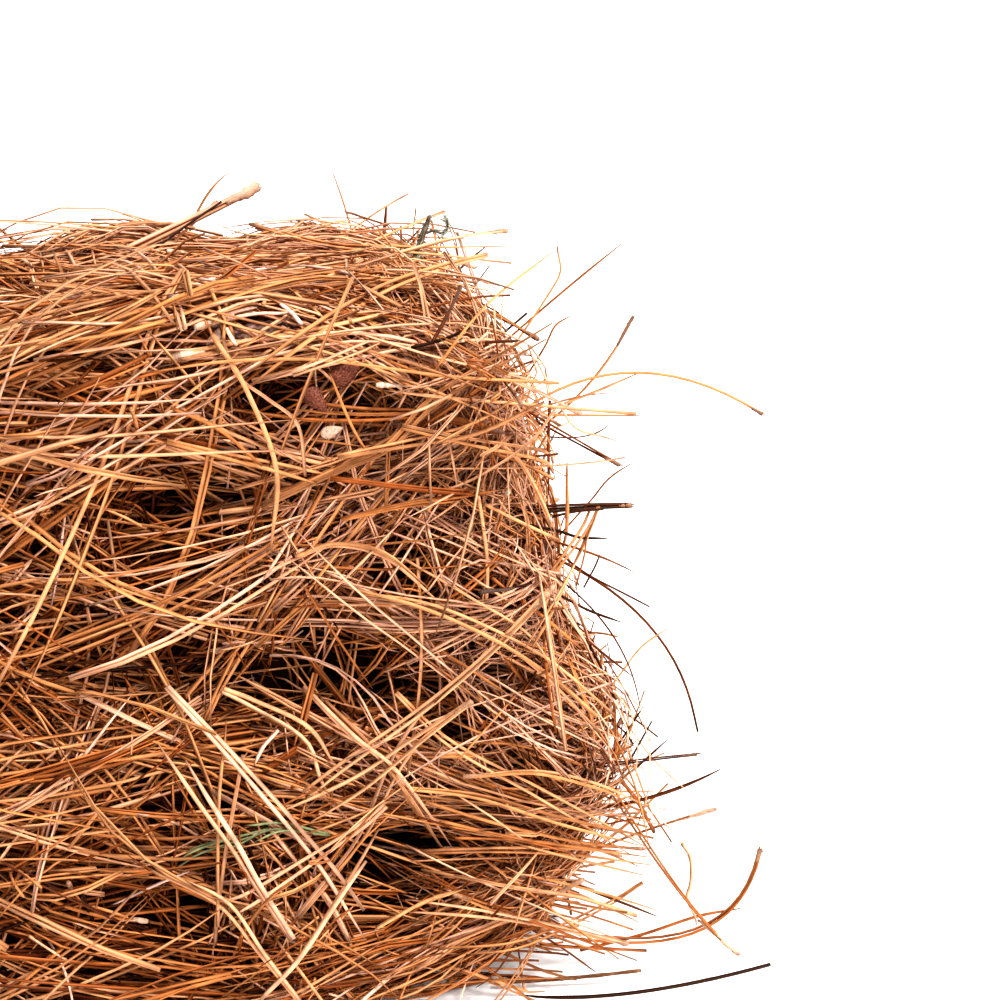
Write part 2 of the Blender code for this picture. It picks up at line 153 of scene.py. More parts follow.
def smooth_waves(count, shortest, longest, seed):
    """Waves that add up to a soft uneven field: their directions, and where they start."""
    own = np.random.default_rng(seed)
    turn = own.normal(size=(count, 3))
    turn /= np.linalg.norm(turn, axis=1, keepdims=True)
    length = own.uniform(shortest, longest, count)
    return turn * (2 * np.pi / length)[:, None], own.uniform(0, 2 * np.pi, count)


def wave_sum(waves, p):
    """The field's value at points, about -1 to 1."""
    turn, start = waves
    return np.sin(p @ turn.T + start).sum(-1) / math.sqrt(len(start) / 2) / 1.6


LUMPS = smooth_waves(14, 0.07, 0.22, 1)
SWIRL = smooth_waves(10, 0.10, 0.26, 2)
SHADE = smooth_waves(12, 0.05, 0.16, 3)
GAPS = smooth_waves(16, 0.030, 0.080, 4)


def covered(p):
    """How much the straw hides the twines: on the right half of the top, and the front one's end."""
    half = fade(p[..., 0], *HIDDEN_FROM)
    top = half * fade(p[..., 0], *HIDDEN_TO) * (p[..., 2] > HIDDEN_TOP)
    return np.maximum(top, half * (p[..., 1] < 0) * (p[..., 0] > HIDDEN_END))


def distance(p):
    """How far points are outside the mat's surface."""
    total = None
    for low, high in boxes:
        half = (high - low) / 2 - ROUND
        q = np.abs(p - (low + high) / 2) - half
        out = np.linalg.norm(np.maximum(q, 0), axis=-1)
        one = out + np.minimum(q.max(-1), 0) - ROUND
        if total is None:
            total = one
        else:
            share = np.clip(0.5 + 0.5 * (total - one) / BLEND, 0, 1)
            total = total + (one - total) * share - BLEND * share * (1 - share)
    side = fade(p[..., 2], *FOOT)
    total = total - LUMP_HEIGHT * wave_sum(LUMPS, p) * side
    beside, over = np.abs(p[..., 1]) - TWINE_Y, covered(p)
    total = total + GROOVE[0] * (1 - over) * np.exp(-((beside / GROOVE[1]) ** 2)) * side
    total = total - RIDGE[0] * over * np.exp(-((beside / RIDGE[1]) ** 2)) * side
    for place, reach, depth in WORN:
        away = (((p - place) / reach) ** 2).sum(-1)
        total = total + depth * np.exp(-away / 2)
    return np.maximum(total, UNDERSIDE - p[..., 2])


GAPS_FROM, GAPS_SPAN, GAPS_MOST = 0.75, 0.60, 0.2  # how the waves make shallow gaps everywhere


def hollowness(p):
    """How deep in a hollow points are, 0 to 1."""
    most = np.clip((wave_sum(GAPS, p) - GAPS_FROM) / GAPS_SPAN, 0, GAPS_MOST)
    for x, y, z, radius in HOLLOWS:
        away = ((p - (x, y, z)) ** 2).sum(-1)
        most = np.maximum(most, np.exp(-((away / (2 * radius * radius)) ** 2)))
    return most * fade(p[..., 2], *FOOT)


SLOPE_STEP = 0.002  # the distance over which the surface's slope is measured


def field(p):
    """Distance from the surface and outward normal at points."""
    here = distance(p)
    slope = np.stack([distance(p + SLOPE_STEP * axis) - here for axis in np.eye(3)], -1)
    return here, unit(slope)


# Each side of the bale: the directions along it, across it and out of it.
SIDES = {
    "front": np.array([(1, 0, 0), (0, 0, 1), (0, -1, 0)], float),
    "back": np.array([(1, 0, 0), (0, 0, 1), (0, 1, 0)], float),
    "right": np.array([(0, 1, 0), (0, 0, 1), (1, 0, 0)], float),
    "left": np.array([(0, 1, 0), (0, 0, 1), (-1, 0, 0)], float),
    "top": np.array([(1, 0, 0), (0, 1, 0), (0, 0, 1)], float),
    "bottom": np.array([(1, 0, 0), (0, 1, 0), (0, 0, -1)], float),
}
# Half the size and the middle of the box whose sides the needles are spread over.
BALE_HALF = np.array([0.345, 0.172, 0.175])
BALE_MIDDLE = np.array([0.0, 0.0, 0.176])
SETTLING = 4  # steps that bring a point onto the surface
NEAR = (0.32, 0.08)  # share of front and top needles that gather in the right end, and where it begins


def spots(side, count, least=0.0, near=NEAR):
    """Points spread over one side of the bale, least or more of the way to its ends, on the surface."""
    along, across, out = SIDES[side]
    a = rng.uniform(-1, 1, count)
    b = rng.uniform(-1, 1, count)
    if side in ("front", "top"):
        gathered = rng.uniform(size=count) < near[0]
        a = np.where(gathered, near[1] + (1 - near[1]) * (a + 1) / 2, a)
    a = np.sign(a) * (least + (1 - least) * np.abs(a))
    reach = [np.abs(v * BALE_HALF).sum() for v in (along, across, out)]
    p = BALE_MIDDLE + np.outer(a * reach[0], along) + np.outer(b * reach[1], across) + out * reach[2]
    for _ in range(SETTLING):
        d, n = field(p)
        p = p - n * d[:, None]
    return p


def tangents(normals):
    """A level direction along the surface, and the one across it."""
    level = np.cross((0.0, 0.0, 1.0), normals)
    flat = np.abs(normals[:, 2:3]) > 0.75
    level = np.where(flat, np.array([1.0, 0.0, 0.0]), level)
    level = unit(level - normals * (level * normals).sum(-1, keepdims=True))
    return level, np.cross(normals, level)


# Where needles lie level and reach out past the right end: place, reach and how level they are.
LEVEL = (
    ((0.315, -0.170, 0.085), (0.075, 0.060, 0.065), 0.65),
    ((0.335, -0.170, 0.250), (0.035, 0.060, 0.110), 0.55),
)


SWIRL_ANGLE = 0.45  # how far the straw's direction swings
LEVEL_SLOPE = 0.12  # how much level needles fall towards the right


def headings(p, spread):
    """Directions along the surface, mostly level, that drift in soft swirls."""
    _, n = field(p)
    level, across = tangents(n)
    drift = SWIRL_ANGLE * wave_sum(SWIRL, p) + spread
    for place, reach, share in LEVEL:
        near = np.exp(-(((p - place) / reach) ** 2).sum(-1))
        drift = drift * (1 - share * near) - LEVEL_SLOPE * near
    return turned(level, across, drift + np.pi * (rng.uniform(size=len(p)) < 0.5))


# ------------------------------------------------------------------ laying needles
# How far the straw may reach past the CAD part: a share of each side and a length, less some room.
REACH_SHARE, REACH_LENGTH, REACH_SPARE = 0.03, 0.010, 0.003
REACH = REACH_SHARE * (CAD_BOX[1] - CAD_BOX[0]) + REACH_LENGTH - REACH_SPARE
ROOM = CAD_BOX + np.array([-REACH, REACH])


def smooth(paths, points):
    """The same paths with more points, eased through the given ones."""
    before = 2 * paths[:, :1] - paths[:, 1:2]
    after = 2 * paths[:, -1:] - paths[:, -2:-1]
    given = np.concatenate([before, paths, after], 1)
    at = np.linspace(0, paths.shape[1] - 1, points)
    first = np.minimum(at.astype(int), paths.shape[1] - 2)
    u = (at - first)[None, :, None]
    a, b, c, d = (given[:, first + k] for k in range(4))
    return 0.5 * (2 * b + (c - a) * u + (2 * a - 5 * b + 4 * c - d) * u**2
                  + (3 * b - a - 3 * c + d) * u**3)


def lay(plan, points):
    """Paths that start at their middle and follow the surface both ways, as stiffly as they are."""
    middle, step = plan["middle"], (plan["length"] / (points - 1))[:, None]
    count, half = len(middle), (points - 1) // 2
    paths, normals = np.empty((2, count, points, 3))
    d, n = field(middle)
    heading = unit(plan["heading"] - n * (plan["heading"] * n).sum(-1, keepdims=True))
    start = middle - n * (d + plan["depth"])[:, None]
    paths[:, half], normals[:, half] = start, n
    for sign, reach, lift in ((1, points - 1 - half, "tip_lift"), (-1, half, "base_lift")):
        p, way = start.copy(), heading * sign
        for i in range(1, reach + 1):
            ahead = p + way * step
            d, normal = field(ahead)
            share = i / reach
            weave = np.sin(plan["phase"] + sign * plan["turns"] * np.pi * share)
            aim = -plan["depth"] + plan["wave"] * weave + plan[lift] * share**2
            ahead = ahead + normal * ((aim - d) * plan["stiff"])[:, None]
            ahead[:, 2] = np.maximum(ahead[:, 2], LOWEST)
            way = unit(ahead - p)
            turn = plan["bend"] * step[:, 0] * sign
            if sign == 1:
                turn = turn + plan["kink"] * (np.abs(share - plan["kink_at"]) < 0.5 / reach)
            way = unit(way + np.cross(normal, way) * turn[:, None])
            p = ahead
            paths[:, half + sign * i], normals[:, half + sign * i] = p, normal
    return paths, normals


LIFTS = {"top": 0.55, "back": 0.6, "right": 0.7, "left": 0.7}  # how far ends stand off beside the front's
UNEVEN = 0.08  # how much the tone wanders from place to place
LIT_FACES = 0.30  # painted light: how much paler straw facing the front and up is at the right end; faces turned away get a little painted shade
LIT_FACES_FROM = (0.17, 0.12)  # where that painted light begins along the bale, and over what length
GROUND_SHADE, GROUND_SHADE_BELOW = 0.20, 0.10  # painted shade: how much darker the straw is next to the ground, and up to what height
TONE_RANGE = (1.0, 0.02, 0.80)  # how much tones vary, and the darkest and palest
# On the top tones vary less, the darkest are paler and the palest darker: painted light and shade that
# soften the contrast the key light gives there.
TOP_TONE_RANGE = (0.60, 0.14, 0.76)
FINER = (0.20, 0.10)  # where needles get finer along the bale, and over what length
# Paler patches, partly paler straw and partly painted light where the right end and the top catch more
# light: place, reach and how much paler.
PALE = (
    ((0.315, -0.170, 0.240), (0.052, 0.060, 0.080), 0.27),
    ((0.302, -0.160, 0.322), (0.038, 0.070, 0.040), 0.23),
    ((0.325, -0.170, 0.165), (0.045, 0.060, 0.055), 0.20),
    ((0.200, 0.080, 0.360), (0.160, 0.100, 0.040), 0.10),
)


def slimness(x):
    """How much finer needles are towards the right end."""
    return 1 - 0.25 * fade(x, *FINER)


BESIDE, AHEAD = 0.008, 0.045  # how far apart the bundles of a sweep lie, on average
SPLAY = 0.12  # how much their directions differ
STIFF, LIMP = (0.04, 0.25), (0.45, 1.0)  # how closely straight needles and others follow the surface


def grouped(side, count, layer):
    """Where bundles lie. Most lie in sweeps that run alongside each other."""
    size = layer["sweep"]
    groups = max(1, int(count * layer["grouped"] / size))
    single = np.arange(groups, groups + count - groups * size)
    of = np.concatenate([np.repeat(np.arange(groups), size), single])
    total, n = of[-1] + 1, len(of)
    seed = {
        "middle": spots(side, total, layer["least"], layer["near"]),
        "depth": rng.uniform(*layer["depth"], total),
        "phase": rng.uniform(0, 2 * np.pi, total),
        "turns": rng.uniform(0.5, 1.7, total),
        "bend": rng.normal(0, layer["bend"], total),
        "tone": rng.normal(0, layer["varied"], total),
    }
    spread = np.clip(rng.normal(0, 1, total), -1.8, 1.8) * layer["spread"]
    seed["heading"] = headings(seed["middle"], spread)
    plan = {key: value[of] for key, value in seed.items()}
    _, normal = field(plan["middle"])
    beside = np.cross(normal, plan["heading"])
    inside = (of < groups)[:, None]
    slide = beside * rng.normal(0, BESIDE, (n, 1)) + plan["heading"] * rng.normal(0, AHEAD, (n, 1))
    plan["middle"] = plan["middle"] + slide * inside
    plan["heading"] = unit(plan["heading"] + beside * rng.normal(0, SPLAY, (n, 1)) * inside)
    plan["depth"] = plan["depth"] + rng.uniform(-0.002, 0.002, n)
    plan["bend"] = plan["bend"] + rng.normal(0, 0.7, n)
    return plan, normal


def tones(plan, normal, side, layer):
    """How pale bundles are: their layer's tone, their sweep's, their place's and their own, with painted
    light and shade.
    """
    middle = plan["middle"]
    shade = UNEVEN * wave_sum(SHADE, middle)
    facing = np.clip(np.maximum(-normal[:, 1], normal[:, 2]), 0, 1) - 0.25
    # painted light on straw that faces the front and up, and a little painted shade on faces turned away
    shade = shade + LIT_FACES * facing * fade(middle[:, 0], *LIT_FACES_FROM)
    # paler patches, partly painted light
    for place, reach, more in PALE:
        shade = shade + more * np.exp(-(((middle - place) / reach) ** 2).sum(-1))
    # painted shade next to the ground
    shade = shade - GROUND_SHADE * fade(middle[:, 2], GROUND_SHADE_BELOW, -GROUND_SHADE_BELOW)
    own = rng.normal(0, 0.8 * layer["varied"], len(middle))
    even, darkest, palest = TOP_TONE_RANGE if side == "top" else TONE_RANGE
    return np.clip(layer["tone"] + even * (plan["tone"] + own) + shade, darkest, palest)


def planned(side, count, layer):
    """Everything about the bundles in one layer of one side, before they are laid."""
    plan, normal = grouped(side, count, layer)
    n = len(normal)
    plan["length"] = rng.uniform(*layer["length"], n)
    straight = rng.uniform(size=n) < layer["straight"]
    plan["stiff"] = np.where(straight, rng.uniform(*STIFF, n), rng.uniform(*LIMP, n))
    plan["wave"] = rng.uniform(0.3, 1.0, n) * layer["wave"]
    lift = layer["lift"] * LIFTS.get(side, 1.0)
    plan["tip_lift"] = np.abs(rng.normal(0, lift, n)) - 0.003
    plan["base_lift"] = rng.normal(0, 0.7 * lift, n)
    plan["kink"] = np.where(rng.uniform(size=n) < layer["kinked"], rng.normal(0, 0.9, n), 0.0)
    plan["kink_at"] = rng.uniform(0.3, 0.9, n)
    plan["tone"] = tones(plan, normal, side, layer)
    plan["thick"] = layer["thick"] * rng.uniform(0.78, 1.12, n) * slimness(plan["middle"][:, 0])
    return plan


# ------------------------------------------------------------------ joined meshes
NEEDLE, SHEATH, PACKED = 0, 1, 2  # kinds of stuff in a joined mesh, each with its own material
# Where a ring's corners lie in their row of the UV map, which is also how light they are: painted light and
# shade across each needle.
RING_AT = (0.0, 1.0, 0.6, 0.8, 0.3)


class Strands:
    """Collects tubes and other closed forms and turns them into one mesh.

    On its UV map a needle lies along U, in the row of its tone. Every kind has rows of its own.
    """

    def __init__(self, rows=(306, 20, 14)):
        self.rows = rows
        self.points, self.corners, self.kinds = [], {3: [], 4: []}, {3: [], 4: []}
        self.tone, self.along, self.round, self.row = [], [], [], []
        self.total = 0

    def faces(self, corners, kind):
        """Adds faces by the numbers of their corners, three or four each."""
        corners = corners.reshape(-1, corners.shape[-1])
        self.corners[corners.shape[1]].append(corners)
        self.kinds[corners.shape[1]].append(np.full(len(corners), kind))

    def rings(self, rings, kind):
        """Closed tubes through rings of points (count, rings, sides, 3)."""
        count, points, sides = rings.shape[:3]
        first = self.total + np.arange(count)[:, None, None] * points * sides
        ring = first + np.arange(points)[None, :, None] * sides
        j = np.arange(sides)
        a, b = ring + j, ring + (j + 1) % sides
        self.faces(np.stack([a[:, :-1], b[:, :-1], b[:, 1:], a[:, 1:]], -1), kind)
        for end, order in ((0, -1), (points - 1, 1)):
            corner = ring[:, end]
            for k in range(1, sides - 1):
                self.faces(np.concatenate([corner, corner + k, corner + k + 1][::order], -1), kind)
        self.points.append(rings.reshape(-1, 3))
        self.total += count * points * sides

    def tubes(self, paths, normals, radii, tone, kind=NEEDLE, sides=3, flat=0.8, roll=None):
        """Closed tubes along paths (count, points, 3), with radii (count, points)."""
        count, points = paths.shape[:2]
        if roll is None:
            roll = rng.uniform(0, 2 * np.pi, (count, 1)) + np.zeros((1, points))
        _, side, up = around(paths, normals)
        angle = roll[..., None] + np.arange(sides) * (2 * np.pi / sides)
        wide = np.cos(angle)[..., None] * side[:, :, None, :]
        high = np.sin(angle)[..., None] * up[:, :, None, :] * flat
        self.rings(paths[:, :, None, :] + (wide + high) * radii[:, :, None, None], kind)
        step = np.floor(np.clip(tone, 0.0, 0.999) * self.rows[kind])
        row = sum(self.rows[:kind]) + step[:, None] + 0.2 + 0.6 * np.array(RING_AT[:sides])
        along = np.linspace(0, 1, points)[None, :, None] + np.zeros((count, 1, sides))
        self.along.append(along.ravel())
        self.tone.append(np.repeat((step + 0.5) / self.rows[kind], points * sides))
        # how light each corner is: painted light and shade across the needle
        self.round.append(np.tile(RING_AT[:sides], count * points))
        self.row.append(np.repeat(row[:, None, :], points, 1).ravel())

    def loft(self, path, normals, wide, high, sides, rough, kind=NEEDLE, top=1.0, shade=None):
        """One closed form along a path, with a half width and a half height at each point."""
        _, side, up = around(path, normals, 0)
        angle = np.arange(sides) * (2 * np.pi / sides)
        bumps = 1 + rough * rng.uniform(-1, 1, (len(path), sides, 1))
        rise = np.where(np.sin(angle) > 0, top, 1.0) * np.sin(angle)
        off = side[:, None] * (np.cos(angle) * wide[:, None])[..., None]
        off = off + up[:, None] * (rise * high[:, None])[..., None]
        self.rings((path[:, None] + off * bumps)[None], kind)
        # Round each ring the tone runs from pale to dark and back: in the needle and sheath materials,
        # painted light on one side and painted shade on the other.
        tone = np.abs(1 - 2 * np.arange(sides) / sides)
        if shade is not None:
            tone = np.clip(shade + 0.3 * (tone - 0.5), 0, 1)
        self.tone.append(np.tile(tone, len(path)))
        self.along.append(np.repeat(np.linspace(0, 1, len(path)), sides))
        self.round.append(np.full(len(path) * sides, 0.6))
        self.row.append(sum(self.rows[:kind]) + 0.1 + (self.rows[kind] - 0.2) * self.tone[-1])

    def sheet(self, points, corners, kind):
        """A closed mesh of its own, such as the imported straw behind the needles."""
        self.faces(corners + self.total, kind)
        self.points.append(points)
        low, high = points.min(0), points.max(0)
        place = (points - low) / (high - low)
        self.along.append(place[:, 0])
        self.tone.append(place[:, 2])
        self.round.append(np.full(len(points), 0.6))
        self.row.append(sum(self.rows[:kind]) + self.rows[kind] * (0.02 + 0.96 * place[:, 2]))
        self.total += len(points)

    def build(self, name, materials):
        """Turns everything collected into one mesh object."""
        points = np.concatenate(self.points)
        sizes = [size for size in (4, 3) if self.corners[size]]
        loops = np.concatenate([np.concatenate(self.corners[size]).ravel() for size in sizes])
        counts = np.concatenate([np.full(sum(map(len, self.corners[size])), size) for size in sizes])
        kinds = np.concatenate([np.concatenate(self.kinds[size]) for size in sizes])
        starts = np.concatenate([[0], np.cumsum(counts)[:-1]])
        mesh = bpy.data.meshes.new(name)
        mesh.vertices.add(len(points))
        mesh.vertices.foreach_set("co", points.astype(np.float32).ravel())
        mesh.loops.add(len(loops))
        mesh.loops.foreach_set("vertex_index", loops.astype(np.int32))
        mesh.polygons.add(len(starts))
        mesh.polygons.foreach_set("loop_start", starts.astype(np.int32))
        mesh.polygons.foreach_set("material_index", kinds.astype(np.int32))
        mesh.update(calc_edges=True)
        mesh.shade_smooth()
        along = np.concatenate(self.along)
        for label, values in (("tone", self.tone), ("along", self.along), ("round", self.round)):
            layer = mesh.attributes.new(label, "FLOAT", "POINT")
            layer.data.foreach_set("value", np.concatenate(values).astype(np.float32))
        up = np.concatenate(self.row) / sum(self.rows)
        uv = np.stack([0.01 + 0.98 * along, 0.005 + 0.99 * up], -1)
        layer = mesh.uv_layers.new(name="OFBake")
        layer.uv.foreach_set("vector", uv[loops].astype(np.float32).ravel())
        for material in materials:
            mesh.materials.append(material)
        made = bpy.data.objects.new(name, mesh)
        bpy.context.scene.collection.objects.link(made)
        return made


# ------------------------------------------------------------------ bundles and sheaths
# A sheath's form from its open base: the place along it and how wide it is there.
SHEATH_SHAPE = np.array((
    (0.0, 0.80), (0.0012, 1.30), (0.0035, 1.42), (0.0080, 1.20), (0.0130, 1.05), (0.0170, 0.80)))
GREEN = 0.985  # tones from here on are the few needles that are still green


BLUNT = 0.30  # share of needles with a broken tip
TIPS = (0.8, 0.32)  # how thick a broken tip and a whole one are beside the needle
TIP_LENGTH = 0.22  # share of a needle over which it narrows
NEEDLE_SAG = 0.0006  # how much lower the needles of a bundle may lie than its middle


def narrowed(thick, points, tip):
    """Thickness along needles that narrow over their last stretch to a share of it."""
    share = np.minimum(1.0, (1 - np.linspace(0, 1, points)) / TIP_LENGTH)[None, :] ** 0.8
    return thick[:, None] * (share * (1 - tip[:, None]) + tip[:, None])


def add_bundles(strands, paths, normals, tone, thick, needles, part, sheathed, sides=3):
    """Needles side by side that part slowly towards their tips, some with a sheath at the base."""
    count, points = paths.shape[:2]
    way, side, up = around(paths, normals)
    share = np.linspace(0, 1, points)[None, :, None]
    start = rng.uniform(0, 2 * np.pi, count)
    for k in range(needles):
        angle = (start + 2 * np.pi * k / needles)[:, None, None]
        away = side * np.cos(angle) + up * np.sin(angle) * 0.6
        apart = (part * rng.uniform(0.2, 1.5, count))[:, None, None] * share**1.4
        own = paths + away * ((0.8 * thick)[:, None, None] * (needles > 1) + apart)
        own = own + way * rng.normal(0, 0.006, count)[:, None, None] * share
        own[..., 2] = np.maximum(own[..., 2], LOWEST - NEEDLE_SAG)
        tip = np.where(rng.uniform(size=count) < BLUNT, *TIPS)
        radii = narrowed(thick * rng.uniform(0.85, 1.12, count), points, tip)
        twist = rng.uniform(0, 2 * np.pi, (count, 1)) + rng.normal(0, 1.3, (count, 1)) * share[..., 0]
        shade = np.where(tone < GREEN, np.minimum(tone + rng.normal(0, 0.04, count), 0.955), tone)
        fits = in_room(own)
        strands.tubes(own[fits], normals[fits], radii[fits], shade[fits], sides=sides, roll=twist[fits])
    picked = rng.uniform(size=count) < sheathed
    if picked.any():
        add_sheaths(strands, paths[picked], normals[picked], tone[picked], thick[picked])


def add_sheaths(strands, paths, normals, tone, thick):
    """The scaly boots that hold bundles together at their base."""
    way = unit(paths[:, 1:2] - paths[:, :1])
    along, width = SHEATH_SHAPE[None, :, :1], SHEATH_SHAPE[None, :, 1]
    path = paths[:, :1] + way * (along * rng.uniform(0.6, 1.3, (len(paths), 1, 1)) - 0.003)
    path = path + rng.normal(0, 0.00018, path.shape)
    path[..., 2] = np.maximum(path[..., 2], LOWEST)
    radii = width * thick[:, None] * 1.2 * rng.uniform(0.88, 1.12, width.shape * np.array((len(path), 1)))
    shade = np.clip(tone + rng.normal(0.08, 0.16, len(path)), 0, 1)
    normal = normals[:, :1] + np.zeros_like(path)
    strands.tubes(path, normal, radii, shade, SHEATH, 4, flat=1.0)


# ------------------------------------------------------------------ materials
NEEDLE_COLOURS = (
    (0.00, (0.020, 0.004, 0.002)),
    (0.10, (0.075, 0.018, 0.006)),
    (0.22, (0.205, 0.053, 0.011)),
    (0.36, (0.370, 0.125, 0.036)),
    (0.50, (0.512, 0.216, 0.082)),
    (0.64, (0.602, 0.294, 0.144)),
    (0.78, (0.690, 0.374, 0.236)),
    (0.90, (0.740, 0.444, 0.336)),
    (0.96, (0.770, 0.520, 0.440)),
    (1.00, (0.170, 0.200, 0.095)),
)
SHEATH_COLOURS = (
    (0.0, (0.060, 0.028, 0.016)),
    (0.35, (0.220, 0.100, 0.052)),
    (0.65, (0.460, 0.255, 0.150)),
    (1.0, (0.680, 0.470, 0.345)),
)


def new_material(name, roughness, specular=0.5):
    """A material with its node tree and its shader."""
    made = bpy.data.materials.new(name)
    made.use_nodes = True
    shader = made.node_tree.nodes["Principled BSDF"]
    shader.inputs["Roughness"].default_value = roughness
    shader.inputs["Specular IOR Level"].default_value = specular
    return made, made.node_tree, shader


def ramp(tree, source, stops):
    """A ramp from (place, colour or grey) stops, fed by a socket."""
    node = tree.nodes.new("ShaderNodeValToRGB")
    marks = node.color_ramp.elements
    while len(marks) < len(stops):
        marks.new(0.5)
    for mark, (place, _) in zip(marks, stops):
        mark.position = place
    for mark, (_, colour) in zip(marks, stops):
        mark.color = (*colour, 1.0) if isinstance(colour, tuple) else (colour, colour, colour, 1.0)
    tree.links.new(source, node.inputs["Fac"])
    return node.outputs["Color"]


def darkened(tree, colour, *shades):
    """A colour multiplied by greys: each a socket, and the ramp it goes through."""
    for source, stops in shades:
        node = tree.nodes.new("ShaderNodeMix")
        node.data_type = "RGBA"
        node.blend_type = "MULTIPLY"
        node.inputs[0].default_value = 1.0
        tree.links.new(colour, node.inputs[6])
        tree.links.new(ramp(tree, source, stops), node.inputs[7])
        colour = node.outputs[2]
    return colour


def attribute(tree, name):
    """A value that every point of a joined mesh has."""
    node = tree.nodes.new("ShaderNodeAttribute")
    node.attribute_name = name
    return node.outputs["Fac"]


def streaks(tree, lengthwise, crosswise, detail=2.0, rough=0.5):
    """Noise that runs with a strand: so many patches along it, and so many rows apart."""
    place = tree.nodes.new("ShaderNodeCombineXYZ")
    for value, scale, socket in (("along", lengthwise, "X"), ("tone", crosswise, "Y")):
        times = tree.nodes.new("ShaderNodeMath")
        times.operation = "MULTIPLY"
        times.inputs[1].default_value = scale
        tree.links.new(attribute(tree, value), times.inputs[0])
        tree.links.new(times.outputs[0], place.inputs[socket])
    node = tree.nodes.new("ShaderNodeTexNoise")
    node.inputs["Scale"].default_value = 1.0
    node.inputs["Detail"].default_value = detail
    node.inputs["Roughness"].default_value = rough
    tree.links.new(place.outputs[0], node.inputs["Vector"])
    return node.outputs["Fac"]


def needle_material():
    """Smooth brown needles: mottled, paler in the middle than at the ends, with painted light and shade
    across each.
    """
    made, tree, shader = new_material("pine_needle", 0.45, 0.28)
    shader.inputs["Specular Tint"].default_value = (1.0, 0.66, 0.44, 1.0)
    colour = darkened(
        tree, ramp(tree, attribute(tree, "tone"), NEEDLE_COLOURS),
        (streaks(tree, 9.0, 300.0, 3.0, 0.6), ((0.3, 0.60), (0.6, 1.08))),
        (attribute(tree, "along"), ((0.0, 0.68), (0.06, 1.0), (0.84, 1.0), (1.0, 0.42))),
        # painted light and shade across each needle
        (attribute(tree, "round"), ((0.0, 0.42), (0.45, 0.95), (1.0, 1.15))))
    tree.links.new(colour, shader.inputs["Base Color"])
    return made


def streaked_material(name, roughness, stops, lengthwise, crosswise, specular=0.5):
    """Stuff whose colour runs through a ramp in streaks."""
    made, tree, shader = new_material(name, roughness, specular)
    grain = streaks(tree, lengthwise, crosswise, 3.0, 0.65)
    tree.links.new(ramp(tree, grain, stops), shader.inputs["Base Color"])
    return made


def sheath_material():
    """The papery brown boots of the bundles, banded and darker at the mouth."""
    made, tree, shader = new_material("needle_sheath", 0.7)
    colour = darkened(
        tree, ramp(tree, attribute(tree, "tone"), SHEATH_COLOURS),
        (streaks(tree, 12.0, 60.0), ((0.35, 0.60), (0.65, 1.12))),
        (attribute(tree, "along"), ((0.0, 0.45), (0.10, 1.0), (0.75, 1.0), (1.0, 0.7))))
    tree.links.new(colour, shader.inputs["Base Color"])
    return made


NEEDLES, SHEATHS = needle_material(), sheath_material()
# painted shade: the packed straw behind the needles is near black, for the shade deep in the bale
PACKED_STRAW_SHADE = streaked_material(
    "packed_straw_shade", 0.9, ((0.35, (0.006, 0.002, 0.001)), (0.65, (0.050, 0.016, 0.006))), 70.0, 30.0, 0.1)
TWINE = streaked_material(
    "baling_twine", 0.8, ((0.25, (0.25, 0.15, 0.075)), (0.5, (0.47, 0.335, 0.19)),
                          (0.75, (0.62, 0.48, 0.32))), 260.0, 9.0, 0.2)
TWIG_BARK = streaked_material(
    "twig_bark", 0.85, ((0.30, (0.030, 0.020, 0.014)), (0.50, (0.110, 0.075, 0.050)),
                        (0.62, (0.210, 0.190, 0.140)), (0.72, (0.330, 0.350, 0.250))), 16.0, 5.0)
LICHEN = streaked_material(
    "lichen", 0.9, ((0.30, (0.130, 0.130, 0.085)), (0.70, (0.400, 0.400, 0.310))), 6.0, 9.0, 0.2)
DARK_TWIG = streaked_material(
    "dark_twig", 0.8, ((0.30, (0.050, 0.020, 0.010)), (0.56, (0.170, 0.078, 0.038)),
                       (0.76, (0.420, 0.250, 0.150))), 18.0, 6.0, 0.15)
BARK = streaked_material(
    "bark", 0.85, ((0.28, (0.035, 0.015, 0.010)), (0.42, (0.135, 0.062, 0.044)),
                   (0.56, (0.250, 0.140, 0.110)), (0.72, (0.410, 0.280, 0.235))), 9.0, 12.0)
CONE = streaked_material(
    "cone_scale", 0.7, ((0.30, (0.030, 0.008, 0.005)), (0.48, (0.120, 0.034, 0.018)),
                        (0.62, (0.240, 0.085, 0.048)), (0.78, (0.380, 0.190, 0.120))), 14.0, 16.0, 0.3)
PAPERY = streaked_material(
    "papery_scale", 0.75, ((0.30, (0.260, 0.150, 0.095)), (0.55, (0.480, 0.330, 0.240)),
                           (0.75, (0.640, 0.500, 0.410))), 8.0, 9.0)
STRAW = (NEEDLES, SHEATHS, PACKED_STRAW_SHADE)


def keep(strands, name, nodes, materials=STRAW):
    """Builds the mesh, hangs it on the root body, and hides the nodes that it stands for."""
    piece = strands.build(name, materials)
    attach(piece, "root")
    if nodes:
        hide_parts(*nodes)
    return piece


